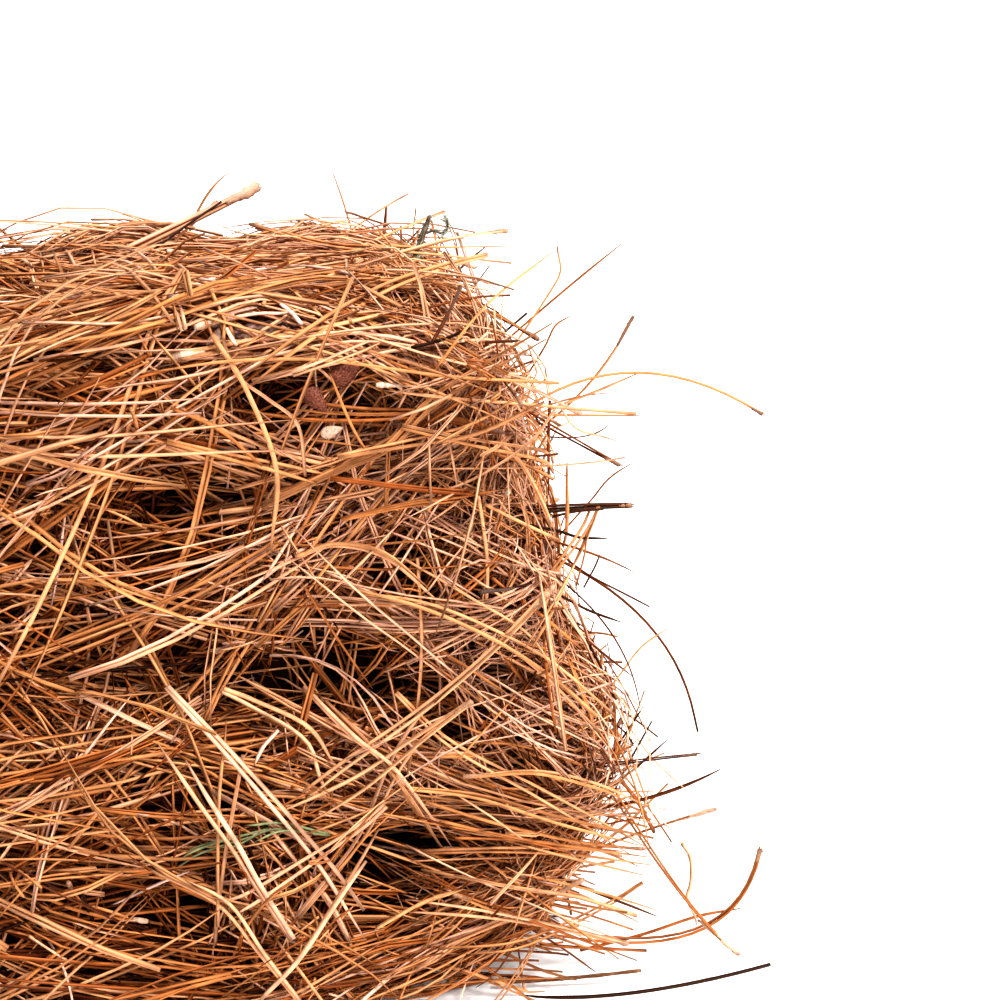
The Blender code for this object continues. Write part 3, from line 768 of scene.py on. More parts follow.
# ------------------------------------------------------------------ the straw of each flake
# What a layer is like where it doesn't say otherwise: one needle to a bundle, none kinked or with a
# boot, all over the side, and most of them in sweeps.
PLAIN = dict(straight=0.0, kinked=0.0, needles=1, part=0.0, sheathed=0.0, least=0.0, near=NEAR,
             grouped=0.65)
# The deeper a layer lies, the darker its tone: partly the inner needles' own colour and partly painted
# shade from the straw over them.
LAYERS = {
    "deep": dict(PLAIN, depth=(0.013, 0.024), spread=0.95, bend=2.0, wave=0.003, lift=0.002,
                 length=(0.10, 0.20), tone=0.13, varied=0.06, coarse=6, fine=6, sweep=7,
                 thick=0.00105, open=0.0),
    "middle": dict(PLAIN, depth=(0.006, 0.014), spread=0.85, bend=2.2, straight=0.05, wave=0.004,
                   lift=0.004, length=(0.10, 0.26), kinked=0.04, tone=0.33, varied=0.10, coarse=7,
                   fine=7, sweep=7, needles=2, thick=0.00095, part=0.005, sheathed=0.05, open=0.92),
    "outer": dict(PLAIN, depth=(-0.001, 0.006), spread=0.66, bend=2.3, straight=0.15, wave=0.005,
                  lift=0.007, length=(0.10, 0.29), kinked=0.05, tone=0.55, varied=0.13, coarse=8,
                  fine=9, sweep=8, needles=2, thick=0.00095, part=0.006, sheathed=0.11, open=0.96),
    "loose": dict(PLAIN, depth=(-0.007, 0.001), spread=0.72, bend=3.2, straight=0.25, wave=0.006,
                  lift=0.012, length=(0.10, 0.30), kinked=0.08, tone=0.64, varied=0.11, coarse=9,
                  fine=11, sweep=6, needles=2, thick=0.00098, part=0.008, sheathed=0.18, open=0.96),
    "edge": dict(PLAIN, depth=(-0.002, 0.012), spread=0.50, bend=2.5, straight=0.85, wave=0.004,
                 lift=0.006, length=(0.05, 0.12), kinked=0.15, tone=0.44, varied=0.22, coarse=7,
                 fine=8, sweep=4, thick=0.00085, sheathed=0.10, open=0.9, least=0.78, grouped=0.3),
    "corner": dict(PLAIN, depth=(0.004, 0.018), spread=0.80, bend=2.0, wave=0.003, lift=0.003,
                   length=(0.08, 0.18), tone=0.24, varied=0.10, coarse=6, fine=6, sweep=7,
                   thick=0.00105, open=0.4, least=0.88),
    "chaff": dict(PLAIN, depth=(-0.003, 0.010), spread=0.95, bend=6.0, straight=0.6, wave=0.002,
                  lift=0.005, length=(0.012, 0.050), tone=0.60, varied=0.18, coarse=5, fine=5,
                  sweep=3, thick=0.00075, open=0.97, near=(0.75, 0.42), grouped=0.2),
}
# Bundles in each layer of each side.
COUNTS = {
    "front": dict(corner=260, deep=1300, middle=1250, outer=1120, loose=380, edge=240, chaff=3000),
    "back": dict(corner=240, deep=760, middle=640, outer=540, loose=200, edge=110, chaff=200),
    "top": dict(corner=100, deep=780, middle=730, outer=800, loose=300, edge=90, chaff=600),
    "right": dict(corner=180, deep=440, middle=430, outer=340, loose=120, edge=90, chaff=400),
    "left": dict(corner=180, deep=360, middle=360, outer=280, loose=100, edge=90, chaff=100),
    "bottom": dict(deep=280, middle=220, outer=100),
}


STRAY = 0.10  # share of needles that may reach past the right end of the mat
# How far the mat reaches to the right at each height, and how much further behind its front.
HEIGHTS = (0.0, 0.05, 0.10, 0.16, 0.20, 0.26, 0.34)
REACHES = (0.345, 0.368, 0.392, 0.376, 0.362, 0.341, 0.330)
FURTHER, MAT_FRONT = 0.12, -0.15
TALL, TALL_FROM = 0.382, 0.05  # few needles stand higher than this beyond this place


def astray(paths):
    """Which paths reach past the right end, where only a few needles stick out."""
    end = np.interp(paths[..., 2], HEIGHTS, REACHES)
    end = end + FURTHER * np.maximum(paths[..., 1] - MAT_FRONT, 0)
    out = (paths[..., 0] > end) | ((paths[..., 2] > TALL) & (paths[..., 0] > TALL_FROM))
    return out.any(1) & (rng.uniform(size=len(paths)) > STRAY)


def in_room(paths):
    """Which paths stay in the room they have."""
    return ((paths > ROOM[0]) & (paths < ROOM[1])).all((1, 2))


def kept(paths, openness):
    """Which paths stay in their room and don't run across a hollow, the litter or a twine."""
    inside = in_room(paths)
    depth = hollowness(paths)
    crossing = 1 - np.exp(-9 * depth.mean(1) - 20 * np.maximum(depth.max(1) - 0.70, 0))
    open_here = rng.uniform(size=len(paths)) < openness * crossing
    return inside & ~open_here & ~over_twine(paths) & ~over_litter(paths) & ~astray(paths)


OVER_LITTER = 0.12  # share of needles that still run over a scrap of litter


def over_litter(paths):
    """Which paths cross in front of the litter or the twig with lichen."""
    fine = smooth(paths, 4 * paths.shape[1])
    hidden = np.zeros(len(paths), bool)
    for place, normal, reach in CLEARINGS:
        away = fine - place
        height = away @ normal
        beside = np.linalg.norm(away - height[..., None] * normal, axis=-1)
        hidden |= ((beside < reach) & (height > -0.001)).any(1)
    return hidden & (rng.uniform(size=len(paths)) > OVER_LITTER)


OVER_TWINE = 0.06  # share of needles that still run over a twine where it shows
TWINE_HEIGHT = 0.001  # straw lower than this runs under a twine
BESIDE_TWINE = 0.004  # needles nearer than this lie along it
TWINE_SPAN = 0.14  # only needles crossed this near the bale's middle line can lie over a twine


def over_twine(paths):
    """Which paths cross over a twine where it should show."""
    beyond = np.abs(paths[..., 1]) - TWINE_Y
    first, second = beyond[:, :-1], beyond[:, 1:]
    gap = np.where(np.abs(first - second) < 1e-9, 1e-9, first - second)
    at = paths[:, :-1] + (paths[:, 1:] - paths[:, :-1]) * np.clip(first / gap, 0, 1)[..., None]
    high = (first * second < 0) & (distance(at) > TWINE_HEIGHT) & (covered(at) < 0.5)
    high = high & (np.abs(at[..., 1]) < TWINE_SPAN) & (at[..., 2] > 0.01)
    along = np.abs(beyond) < BESIDE_TWINE
    along = along & (distance(paths) > TWINE_HEIGHT) & (covered(paths) < 0.5)
    return (high.any(1) | along.any(1)) & (rng.uniform(size=len(paths)) > OVER_TWINE)


def flake_of(p):
    """Which flake each point belongs to, by its height."""
    return np.searchsorted(flake_tops, p[:, 2])


def fill_straw(collected, loose):
    """Every layer of every side. The outermost straw isn't shared out among the flakes."""
    for side, counts in COUNTS.items():
        for name, count in counts.items():
            layer = LAYERS[name]
            plan = planned(side, count, layer)
            everything = np.ones(len(plan["tone"]), bool)
            owner = flake_of(plan["middle"])
            targets = [(collected[i], owner == i) for i in range(len(FLAKES))]
            if name in ("loose", "edge", "chaff"):
                targets = [(loose[side], everything)]
            elif name == "outer" and side == "top":
                targets = [(loose["crown"], everything)]
            for strands, chosen in targets:
                if not chosen.any():
                    continue
                part = {key: value[chosen] for key, value in plan.items()}
                paths, normals = (smooth(v, layer["fine"]) for v in lay(part, layer["coarse"]))
                stay = kept(paths, layer["open"])
                add_bundles(strands, paths[stay], normals[stay], part["tone"][stay],
                            part["thick"][stay], layer["needles"], layer["part"], layer["sheathed"])


# Short stiff ends of needles: how many on each side, and their tone.
TUFTS = {"right": (270, 0.34), "left": (180, 0.45), "top": (90, 0.64), "front": (220, 0.50),
         "back": (120, 0.50)}
TUFT_POINTS = 7
TUFT_LENGTHS = (0.035, 0.11)
TUFT_THICK = 0.00088
TUFT_DROOP = 0.006


def fill_tufts(loose):
    """The short stiff ends, which come out of the mat and point away from it."""
    for side, (count, tone) in TUFTS.items():
        p = spots(side, count)
        _, n = field(p)
        level, across = tangents(n)
        angle = rng.normal(0, 0.9, count) + np.pi * (rng.uniform(size=count) < 0.5)
        flat = turned(level, across, angle)
        way = unit(n * rng.uniform(0.12, 0.80, (count, 1)) + flat)
        length = rng.uniform(*TUFT_LENGTHS, (count, 1, 1))
        share = np.linspace(-0.45, 1, TUFT_POINTS)[None, :, None]
        bow = np.cross(way, n) * rng.normal(0, 0.10, (count, 1)) + n * rng.normal(0, 0.05, (count, 1))
        paths = p[:, None] + way[:, None] * length * share * 0.6 + bow[:, None] * length * share**2
        paths[..., 2] -= TUFT_DROOP * np.maximum(share[..., 0], 0) ** 2
        paths[..., 2] = np.maximum(paths[..., 2], LOWEST)
        normals = np.repeat(np.cross(way, np.cross(n, way))[:, None], TUFT_POINTS, 1)
        flipped = rng.uniform(size=count) < 0.3
        paths[flipped] = paths[flipped, ::-1]
        tones = np.clip(rng.normal(tone, 0.2, count), 0.02, 0.96)
        thick = TUFT_THICK * rng.uniform(0.7, 1.15, count)
        stay = kept(paths, 0.9)
        add_bundles(loose[side], paths[stay], normals[stay], tones[stay], thick[stay], 1, 0.0, 0.1)


def node_mesh(name):
    """The points and triangles of a CAD node, with points at one place made one."""
    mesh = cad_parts[name].data
    points = np.empty(len(mesh.vertices) * 3, np.float32)
    mesh.vertices.foreach_get("co", points)
    mesh.calc_loop_triangles()
    corners = np.empty(len(mesh.loop_triangles) * 3, np.int32)
    mesh.loop_triangles.foreach_get("vertices", corners)
    points, same = np.unique(points.reshape(-1, 3).round(6), axis=0, return_inverse=True)
    return points.astype(float), same.ravel()[corners].reshape(-1, 3)


def split_faces(points, corners):
    """Each triangle cut in four."""
    edges = np.sort(np.concatenate([corners[:, [0, 1]], corners[:, [1, 2]], corners[:, [2, 0]]]), 1)
    edges, at = np.unique(edges, axis=0, return_inverse=True)
    ab, bc, ca = len(points) + at.ravel().reshape(3, -1)
    points = np.concatenate([points, points[edges].mean(1)])
    a, b, c = corners.T
    cut = ((a, ab, ca), (ab, b, bc), (ca, bc, c), (ab, bc, ca))
    return points, np.concatenate([np.stack(face, 1) for face in cut])


PACKED_DEPTH = 0.024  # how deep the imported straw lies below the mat's surface
HOLLOW_DEPTH = 0.016  # how much deeper it lies in a hollow


def packed_body(strands, name):
    """The straw pressed in behind the needles: the flake's own form, sunk under them, near black as painted
    shade.
    """
    points, corners = split_faces(*node_mesh(name))
    for _ in range(3):
        d, n = field(points)
        deep = PACKED_DEPTH + HOLLOW_DEPTH * hollowness(points)
        points = points - n * np.maximum(d + deep, 0)[:, None]
    points[:, 2] = np.maximum(points[:, 2], LOWEST)
    strands.sheet(points, corners, PACKED)


# ------------------------------------------------------------------ sweeps that stand out
# Bundles and single needles that cross the right end of the front and the top: their tone, how
# many needles, and the places they run through.
SWEEPS = (
    (0.80, 2, ((0.148, -0.179, 0.192), (0.178, -0.181, 0.151), (0.211, -0.181, 0.101),
     (0.231, -0.182, 0.063))),
    (0.78, 2, ((0.147, -0.186, 0.166), (0.160, -0.189, 0.140), (0.173, -0.190, 0.115),
     (0.183, -0.188, 0.091), (0.197, -0.193, 0.065))),
    (0.66, 2, ((0.141, -0.189, 0.104), (0.166, -0.187, 0.084), (0.183, -0.193, 0.060),
     (0.200, -0.187, 0.027))),
    (0.74, 2, ((0.172, -0.187, 0.082), (0.183, -0.187, 0.087), (0.211, -0.182, 0.101),
     (0.232, -0.180, 0.113), (0.244, -0.180, 0.123))),
    (0.72, 2, ((0.199, -0.183, 0.123), (0.233, -0.180, 0.138), (0.261, -0.184, 0.160),
     (0.285, -0.183, 0.176))),
    (0.70, 2, ((0.200, -0.188, 0.073), (0.231, -0.174, 0.103), (0.248, -0.181, 0.144),
     (0.263, -0.183, 0.167), (0.281, -0.183, 0.181))),
    (0.68, 2, ((0.207, -0.156, 0.176), (0.227, -0.175, 0.159), (0.245, -0.179, 0.142),
     (0.267, -0.168, 0.103))),
    (0.62, 2, ((0.217, -0.162, 0.172), (0.236, -0.177, 0.155), (0.252, -0.177, 0.129),
     (0.273, -0.159, 0.085))),
    (0.66, 2, ((0.173, -0.169, 0.184), (0.186, -0.164, 0.174), (0.209, -0.171, 0.161),
     (0.219, -0.177, 0.143))),
    (0.60, 1, ((0.172, -0.168, 0.178), (0.167, -0.183, 0.145), (0.165, -0.186, 0.117),
     (0.163, -0.185, 0.071))),
    (0.64, 1, ((0.180, -0.179, 0.153), (0.172, -0.187, 0.116), (0.167, -0.184, 0.082),
     (0.164, -0.186, 0.053))),
    (0.93, 1, ((0.195, -0.170, 0.162), (0.188, -0.175, 0.155), (0.183, -0.179, 0.144))),
    (0.30, 2, ((0.188, -0.173, 0.146), (0.207, -0.168, 0.156), (0.214, -0.167, 0.160))),
    (0.32, 1, ((0.198, -0.174, 0.135), (0.210, -0.172, 0.144), (0.221, -0.171, 0.158))),
    (1.00, 3, ((0.149, -0.181, 0.107), (0.162, -0.182, 0.113), (0.185, -0.180, 0.117),
     (0.193, -0.178, 0.118))),
    (1.00, 3, ((0.183, -0.181, 0.114), (0.197, -0.179, 0.115), (0.218, -0.175, 0.107))),
    (0.62, 2, ((0.238, -0.182, 0.057), (0.260, -0.179, 0.066), (0.284, -0.182, 0.075))),
    (0.76, 2, ((0.189, -0.178, 0.115), (0.203, -0.174, 0.090), (0.216, -0.178, 0.071),
     (0.226, -0.177, 0.045))),
    (0.66, 2, ((0.235, -0.178, 0.231), (0.262, -0.185, 0.227), (0.289, -0.187, 0.214),
     (0.319, -0.179, 0.191), (0.349, -0.190, 0.162))),
    (0.62, 2, ((0.238, -0.178, 0.232), (0.266, -0.185, 0.224), (0.299, -0.185, 0.206),
     (0.327, -0.177, 0.182), (0.346, -0.189, 0.166))),
    (0.70, 2, ((0.204, -0.180, 0.130), (0.228, -0.179, 0.147), (0.266, -0.183, 0.175),
     (0.298, -0.187, 0.204), (0.324, -0.182, 0.228))),
    (0.66, 2, ((0.309, -0.183, 0.193), (0.322, -0.183, 0.215), (0.340, -0.164, 0.236),
     (0.350, -0.164, 0.261))),
    (0.70, 1, ((0.254, -0.182, 0.247), (0.284, -0.188, 0.228), (0.313, -0.184, 0.205),
     (0.328, -0.182, 0.177))),
    (0.62, 2, ((0.209, -0.175, 0.247), (0.227, -0.176, 0.252), (0.249, -0.181, 0.247),
     (0.271, -0.187, 0.228))),
    (0.66, 1, ((0.262, -0.182, 0.246), (0.263, -0.186, 0.209), (0.262, -0.181, 0.177),
     (0.258, -0.181, 0.147))),
    (0.74, 2, ((0.176, -0.173, 0.348), (0.189, -0.177, 0.325), (0.200, -0.174, 0.289),
     (0.197, -0.173, 0.256))),
    (0.76, 1, ((0.183, -0.170, 0.349), (0.187, -0.175, 0.333), (0.198, -0.176, 0.322),
     (0.210, -0.176, 0.309), (0.212, -0.171, 0.284))),
    (0.42, 1, ((0.156, -0.178, 0.319), (0.175, -0.176, 0.309), (0.190, -0.176, 0.296))),
    (0.58, 2, ((0.155, -0.176, 0.306), (0.181, -0.173, 0.297), (0.202, -0.174, 0.291),
     (0.223, -0.171, 0.283))),
    (0.58, 2, ((0.194, -0.169, 0.271), (0.228, -0.173, 0.287), (0.251, -0.174, 0.297),
     (0.273, -0.175, 0.318), (0.318, -0.176, 0.344))),
    (0.36, 3, ((0.208, -0.174, 0.316), (0.238, -0.171, 0.312), (0.270, -0.169, 0.310),
     (0.300, -0.179, 0.304))),
    (0.56, 1, ((0.225, -0.177, 0.333), (0.234, -0.175, 0.308), (0.243, -0.172, 0.290))),
    (0.54, 1, ((0.154, -0.181, 0.335), (0.187, -0.179, 0.338), (0.225, -0.180, 0.337),
     (0.278, -0.179, 0.328), (0.327, -0.182, 0.324))),
    (0.90, 1, ((0.182, -0.171, 0.351), (0.185, -0.174, 0.342), (0.188, -0.176, 0.334))),
    (0.62, 2, ((0.229, -0.176, 0.295), (0.264, -0.174, 0.300), (0.290, -0.181, 0.307),
     (0.317, -0.184, 0.322))),
    (0.72, 1, ((0.255, -0.171, 0.272), (0.286, -0.179, 0.283), (0.312, -0.185, 0.301),
     (0.325, -0.181, 0.316))),
    (0.64, 1, ((0.247, -0.174, 0.321), (0.278, -0.175, 0.318), (0.317, -0.182, 0.316),
     (0.363, -0.182, 0.311))),
    (0.60, 2, ((0.256, -0.172, 0.307), (0.286, -0.178, 0.300), (0.318, -0.179, 0.292),
     (0.328, -0.164, 0.280))),
    (0.62, 2, ((0.250, -0.178, 0.177), (0.275, -0.183, 0.151), (0.318, -0.187, 0.123),
     (0.368, -0.187, 0.087))),
    (0.56, 2, ((0.252, -0.179, 0.130), (0.290, -0.181, 0.123), (0.328, -0.188, 0.111),
     (0.368, -0.188, 0.097))),
    (0.58, 2, ((0.263, -0.158, 0.085), (0.300, -0.175, 0.092), (0.341, -0.173, 0.085),
     (0.378, -0.173, 0.076))),
    (0.70, 2, ((0.251, -0.176, 0.066), (0.289, -0.186, 0.063), (0.329, -0.184, 0.049),
     (0.363, -0.184, 0.036))),
    (0.64, 2, ((0.267, -0.167, 0.079), (0.304, -0.183, 0.076), (0.341, -0.177, 0.062),
     (0.372, -0.177, 0.048))),
    (0.56, 2, ((0.269, -0.182, 0.043), (0.308, -0.187, 0.047), (0.355, -0.163, 0.047),
     (0.376, -0.163, 0.059))),
    (0.58, 2, ((0.285, -0.182, 0.134), (0.317, -0.189, 0.137), (0.346, -0.191, 0.128),
     (0.371, -0.191, 0.114))),
    (0.72, 2, ((0.182, -0.187, 0.029), (0.201, -0.191, 0.052), (0.221, -0.183, 0.077),
     (0.238, -0.171, 0.095))),
    (0.03, 1, ((0.139, 0.030, 0.363), (0.159, 0.040, 0.376), (0.179, 0.050, 0.388))),
    (0.92, 2, ((0.159, -0.158, 0.363), (0.181, -0.098, 0.363), (0.213, -0.061, 0.362),
     (0.231, -0.098, 0.363), (0.245, -0.114, 0.359))),
    (0.60, 2, ((0.161, -0.172, 0.342), (0.188, -0.170, 0.346), (0.227, -0.166, 0.351),
     (0.259, -0.149, 0.355))),
    (0.58, 2, ((0.193, -0.176, 0.331), (0.218, -0.171, 0.348), (0.253, -0.118, 0.359),
     (0.285, -0.097, 0.367), (0.315, -0.047, 0.367))),
    (0.62, 2, ((0.188, 0.050, 0.367), (0.220, -0.000, 0.360), (0.245, -0.099, 0.364),
     (0.279, -0.103, 0.362))),
    (0.58, 2, ((0.197, 0.066, 0.374), (0.238, 0.016, 0.367), (0.276, 0.004, 0.365), (0.348, 0.054, 0.355))),
    (0.66, 1, ((0.226, -0.004, 0.360), (0.230, -0.110, 0.359), (0.235, -0.162, 0.353))),
    (0.62, 1, ((0.212, 0.002, 0.360), (0.207, -0.101, 0.361), (0.198, -0.160, 0.360))),
    (0.15, 1, ((0.271, -0.170, 0.341), (0.278, -0.161, 0.352), (0.288, -0.125, 0.359))),
    (0.03, 2, ((0.262, -0.166, 0.341), (0.277, -0.166, 0.343), (0.292, -0.167, 0.347))),
    (0.03, 1, ((0.293, -0.176, 0.341), (0.305, -0.177, 0.343), (0.316, -0.176, 0.345))),
    (0.50, 1, ((0.274, -0.174, 0.330), (0.293, -0.167, 0.352), (0.320, -0.117, 0.362),
     (0.350, -0.067, 0.370))),
    (0.97, 1, ((0.206, -0.154, 0.361), (0.212, -0.160, 0.357), (0.216, -0.165, 0.353))),
    (0.86, 2, ((0.170, -0.165, 0.353), (0.188, -0.160, 0.357), (0.198, -0.158, 0.358))),
)


SWEEP_THICK, SINGLE_THICK = 0.00112, 0.00096  # half widths in a bundle and on its own
GREEN_SLIM = 0.62  # how thick a green needle is beside a brown one


def add_sweeps(strands):
    """The bundles and needles that stand out, laid one by one."""
    for tone, needles, places in SWEEPS:
        given = np.array(places)
        given = given[None] + rng.normal(0, 0.0012, (1, 1, 3))
        path = smooth(given, 6 + 3 * len(places))
        _, n = field(path[0])
        slim = slimness(path[0, :, 0].mean())
        thick = np.array([SWEEP_THICK if needles > 1 else SINGLE_THICK]) * slim
        if tone >= GREEN:
            thick = thick * GREEN_SLIM
        has_sheath = 1.0 if needles > 1 and rng.uniform() < 0.3 else 0.0
        if rng.uniform() < 0.5:
            path, n = path[:, ::-1], n[::-1]
        add_bundles(strands, path, n[None], np.array([tone]), thick, needles, 0.004, has_sheath, 5)


FACING = (0.15, -1.0, 0.25)  # the way that loose straw at the right end faces
# Short needles and wisps that stick out at the right end, and some that cross its front corner:
# their tone, how many needles (none is a bit of twig), how thick, and the places they run through.
STRAYS = (
    (0.74, 1, 0.00050, ((0.268, -0.176, 0.287), (0.300, -0.177, 0.286),
        (0.317, -0.178, 0.286), (0.341, -0.179, 0.287), (0.359, -0.180, 0.289))),
    (0.24, 1, 0.00052, ((0.334, -0.150, 0.244), (0.349, -0.150, 0.260),
        (0.359, -0.150, 0.271), (0.373, -0.150, 0.279))),
    (0.06, 1, 0.00060, ((0.357, -0.150, 0.117), (0.369, -0.157, 0.142), (0.377, -0.165, 0.163))),
    (0.08, 1, 0.00060, ((0.362, -0.150, 0.099), (0.373, -0.157, 0.130), (0.380, -0.165, 0.153))),
    (0.08, 1, 0.00060, ((0.350, -0.150, 0.186), (0.358, -0.155, 0.168), (0.364, -0.160, 0.150))),
    (0.12, 1, 0.00062, ((0.357, -0.150, 0.103), (0.372, -0.157, 0.119), (0.386, -0.165, 0.138))),
    (0.07, 1, 0.00070, ((0.330, -0.150, 0.216), (0.347, -0.157, 0.207), (0.363, -0.165, 0.202))),
    (0.10, 1, 0.00065, ((0.337, -0.150, 0.199), (0.355, -0.155, 0.184), (0.377, -0.160, 0.166))),
    (0.30, 1, 0.00085, ((0.348, -0.150, 0.012), (0.380, -0.155, 0.021),
        (0.410, -0.160, 0.032), (0.438, -0.165, 0.038))),
    (0.10, 1, 0.00075, ((0.335, -0.155, 0.060), (0.353, -0.160, 0.053), (0.376, -0.165, 0.044))),
    (0.34, 0, 0.00085, ((0.324, -0.160, 0.025), (0.340, -0.162, 0.023), (0.380, -0.165, 0.018))),
    (0.07, 1, 0.00065, ((0.319, -0.160, 0.035), (0.335, -0.162, 0.023), (0.355, -0.165, 0.006))),
    (0.52, 1, 0.00075, ((0.351, -0.150, 0.162), (0.362, -0.155, 0.144),
        (0.369, -0.160, 0.132), (0.378, -0.165, 0.109))),
    (0.78, 1, 0.00055, ((0.364, -0.150, 0.152), (0.382, -0.155, 0.125), (0.401, -0.160, 0.106))),
    (0.30, 0, 0.00105, ((0.365, -0.160, 0.116), (0.374, -0.162, 0.103), (0.382, -0.165, 0.087))),
    (0.60, 2, 0.00080, ((0.318, -0.165, 0.215), (0.323, -0.165, 0.224),
        (0.341, -0.165, 0.249), (0.348, -0.165, 0.263))),
    (0.05, 1, 0.00070, ((0.317, -0.160, 0.253), (0.331, -0.162, 0.250),
        (0.341, -0.163, 0.247), (0.352, -0.165, 0.247))),
    (0.10, 1, 0.00062, ((0.333, -0.155, 0.236), (0.347, -0.160, 0.226), (0.369, -0.165, 0.214))),
    (0.44, 1, 0.00055, ((0.350, -0.155, 0.152), (0.364, -0.157, 0.172),
        (0.374, -0.158, 0.186), (0.385, -0.160, 0.195))),
    (0.16, 1, 0.00075, ((0.323, -0.176, 0.316), (0.323, -0.177, 0.298), (0.324, -0.178, 0.268))),
    (0.50, 1, 0.00060, ((0.324, -0.060, 0.315), (0.337, -0.060, 0.333),
        (0.346, -0.060, 0.346), (0.353, -0.060, 0.358), (0.352, -0.060, 0.370))),
    (0.30, 1, 0.00070, ((0.326, -0.080, 0.300), (0.333, -0.080, 0.311),
        (0.341, -0.080, 0.324), (0.346, -0.080, 0.334), (0.354, -0.080, 0.339))),
    (0.64, 1, 0.00080, ((0.316, -0.140, 0.297), (0.330, -0.140, 0.304),
        (0.353, -0.140, 0.313), (0.373, -0.140, 0.322))),
    (0.82, 1, 0.00040, ((0.365, -0.160, 0.096), (0.381, -0.163, 0.098),
        (0.397, -0.167, 0.081), (0.400, -0.170, 0.076))),
    (0.76, 1, 0.00100, ((0.396, -0.168, 0.081), (0.400, -0.169, 0.074),
        (0.401, -0.170, 0.064), (0.400, -0.171, 0.056), (0.402, -0.172, 0.047))),
    (0.80, 1, 0.00045, ((0.360, -0.160, 0.098), (0.373, -0.162, 0.103), (0.389, -0.165, 0.100))),
    (0.66, 2, 0.00080, ((0.298, -0.178, 0.299), (0.309, -0.178, 0.289),
        (0.318, -0.178, 0.272), (0.324, -0.178, 0.257))),
    (0.64, 1, 0.00090, ((0.290, -0.178, 0.274), (0.294, -0.178, 0.245),
        (0.294, -0.178, 0.223), (0.292, -0.178, 0.204))),
    (0.62, 1, 0.00080, ((0.308, -0.176, 0.281), (0.316, -0.177, 0.293), (0.320, -0.178, 0.303))),
    (0.70, 1, 0.00080, ((0.274, -0.176, 0.298), (0.286, -0.177, 0.300), (0.300, -0.178, 0.300))),
    (0.66, 1, 0.00080, ((0.293, -0.176, 0.269), (0.309, -0.177, 0.261), (0.328, -0.178, 0.252))),
    (0.74, 1, 0.00055, ((0.330, -0.165, 0.311), (0.337, -0.167, 0.301), (0.351, -0.170, 0.296))),
    (0.07, 1, 0.00060, ((0.327, -0.165, 0.258), (0.338, -0.166, 0.261), (0.349, -0.168, 0.263))),
    (0.14, 1, 0.00055, ((0.344, -0.160, 0.220), (0.348, -0.162, 0.230), (0.350, -0.165, 0.239))),
    (0.30, 1, 0.00060, ((0.339, -0.165, 0.223), (0.342, -0.166, 0.236), (0.343, -0.168, 0.247))),
    (0.30, 3, 0.00078, ((0.224, -0.178, 0.285), (0.255, -0.179, 0.280),
        (0.275, -0.179, 0.277), (0.287, -0.180, 0.276))),
    (0.44, 3, 0.00078, ((0.228, -0.178, 0.266), (0.254, -0.179, 0.271),
        (0.275, -0.179, 0.273), (0.290, -0.180, 0.275))),
    (0.50, 1, 0.00085, ((0.264, -0.177, 0.122), (0.295, -0.178, 0.109),
        (0.330, -0.179, 0.097), (0.357, -0.180, 0.091))),
    (0.44, 1, 0.00085, ((0.271, -0.177, 0.111), (0.300, -0.178, 0.101),
        (0.330, -0.179, 0.093), (0.356, -0.180, 0.088))),
    (0.38, 1, 0.00085, ((0.278, -0.177, 0.101), (0.310, -0.178, 0.097), (0.345, -0.180, 0.086))),
)


def add_strays(strands):
    """The short needles and bits of twig, laid one by one."""
    for tone, needles, thick, places in STRAYS:
        given = np.array(places)[None]
        path = smooth(given, 5 + 3 * len(places))
        normals = np.tile(FACING, (1, path.shape[1], 1))
        if needles == 0:
            width = thick * rng.uniform(0.88, 1.12, path.shape[1])
            strands.loft(path[0], normals[0], width, width, sides=7, rough=0.14, shade=tone)
            continue
        add_bundles(strands, path, normals, np.array([tone]), np.array([thick]), needles, 0.0015, 0.0, 5)


FAN, FAN_POINTS = 170, 9
FAN_ROOTS = ((0.235, -0.168, 0.010), (0.315, -0.080, 0.100))  # corners of the box they grow from
FAN_HEIGHTS, FAN_ENDS = (0.0, 0.08), (0.325, 0.396)  # how far right they reach at two heights
FAN_LENGTHS = (0.05, 0.13)
FAN_SLOPE, FAN_TURN = (-5, 10), (-8, 16)  # degrees, and how much they vary
FAN_TONE, FAN_THICK = (0.52, 0.22), 0.00082


def add_fan(strands):
    """Long level needles that come out of the worn lower corner and part as they reach out."""
    count, points = FAN, FAN_POINTS
    root = rng.uniform(*FAN_ROOTS, (count, 3))
    end = np.interp(root[:, 2], FAN_HEIGHTS, FAN_ENDS)
    slope = np.radians(rng.normal(*FAN_SLOPE, count))
    turn = np.radians(rng.normal(*FAN_TURN, count))
    way = np.stack([np.cos(slope) * np.cos(turn), np.cos(slope) * np.sin(turn), np.sin(slope)], 1)
    share = np.linspace(0, 1, points)[None, :, None]
    length = np.clip(end - root[:, 0], 0.02, rng.uniform(*FAN_LENGTHS, count))[:, None, None]
    bow = np.cross(way, (0.0, 1.0, 0.0)) * rng.normal(0.05, 0.10, (count, 1))
    bow = bow + (0.0, 1.0, 0.0) * rng.normal(0, 0.06, (count, 1))
    paths = root[:, None] + (way[:, None] * share + bow[:, None] * (share - share**2)) * length
    paths[..., 2] = np.maximum(paths[..., 2], LOWEST)
    normals = np.tile((0.0, -1.0, 0.2), (count, points, 1))
    flipped = rng.uniform(size=count) < 0.25
    paths[flipped] = paths[flipped, ::-1]
    tones = np.clip(rng.normal(*FAN_TONE, count), 0.04, 0.86)
    thick = FAN_THICK * rng.uniform(0.75, 1.15, count)
    stay = kept(paths, 0.9)
    add_bundles(strands, paths[stay], normals[stay], tones[stay], thick[stay], 1, 0.0, 0.08)


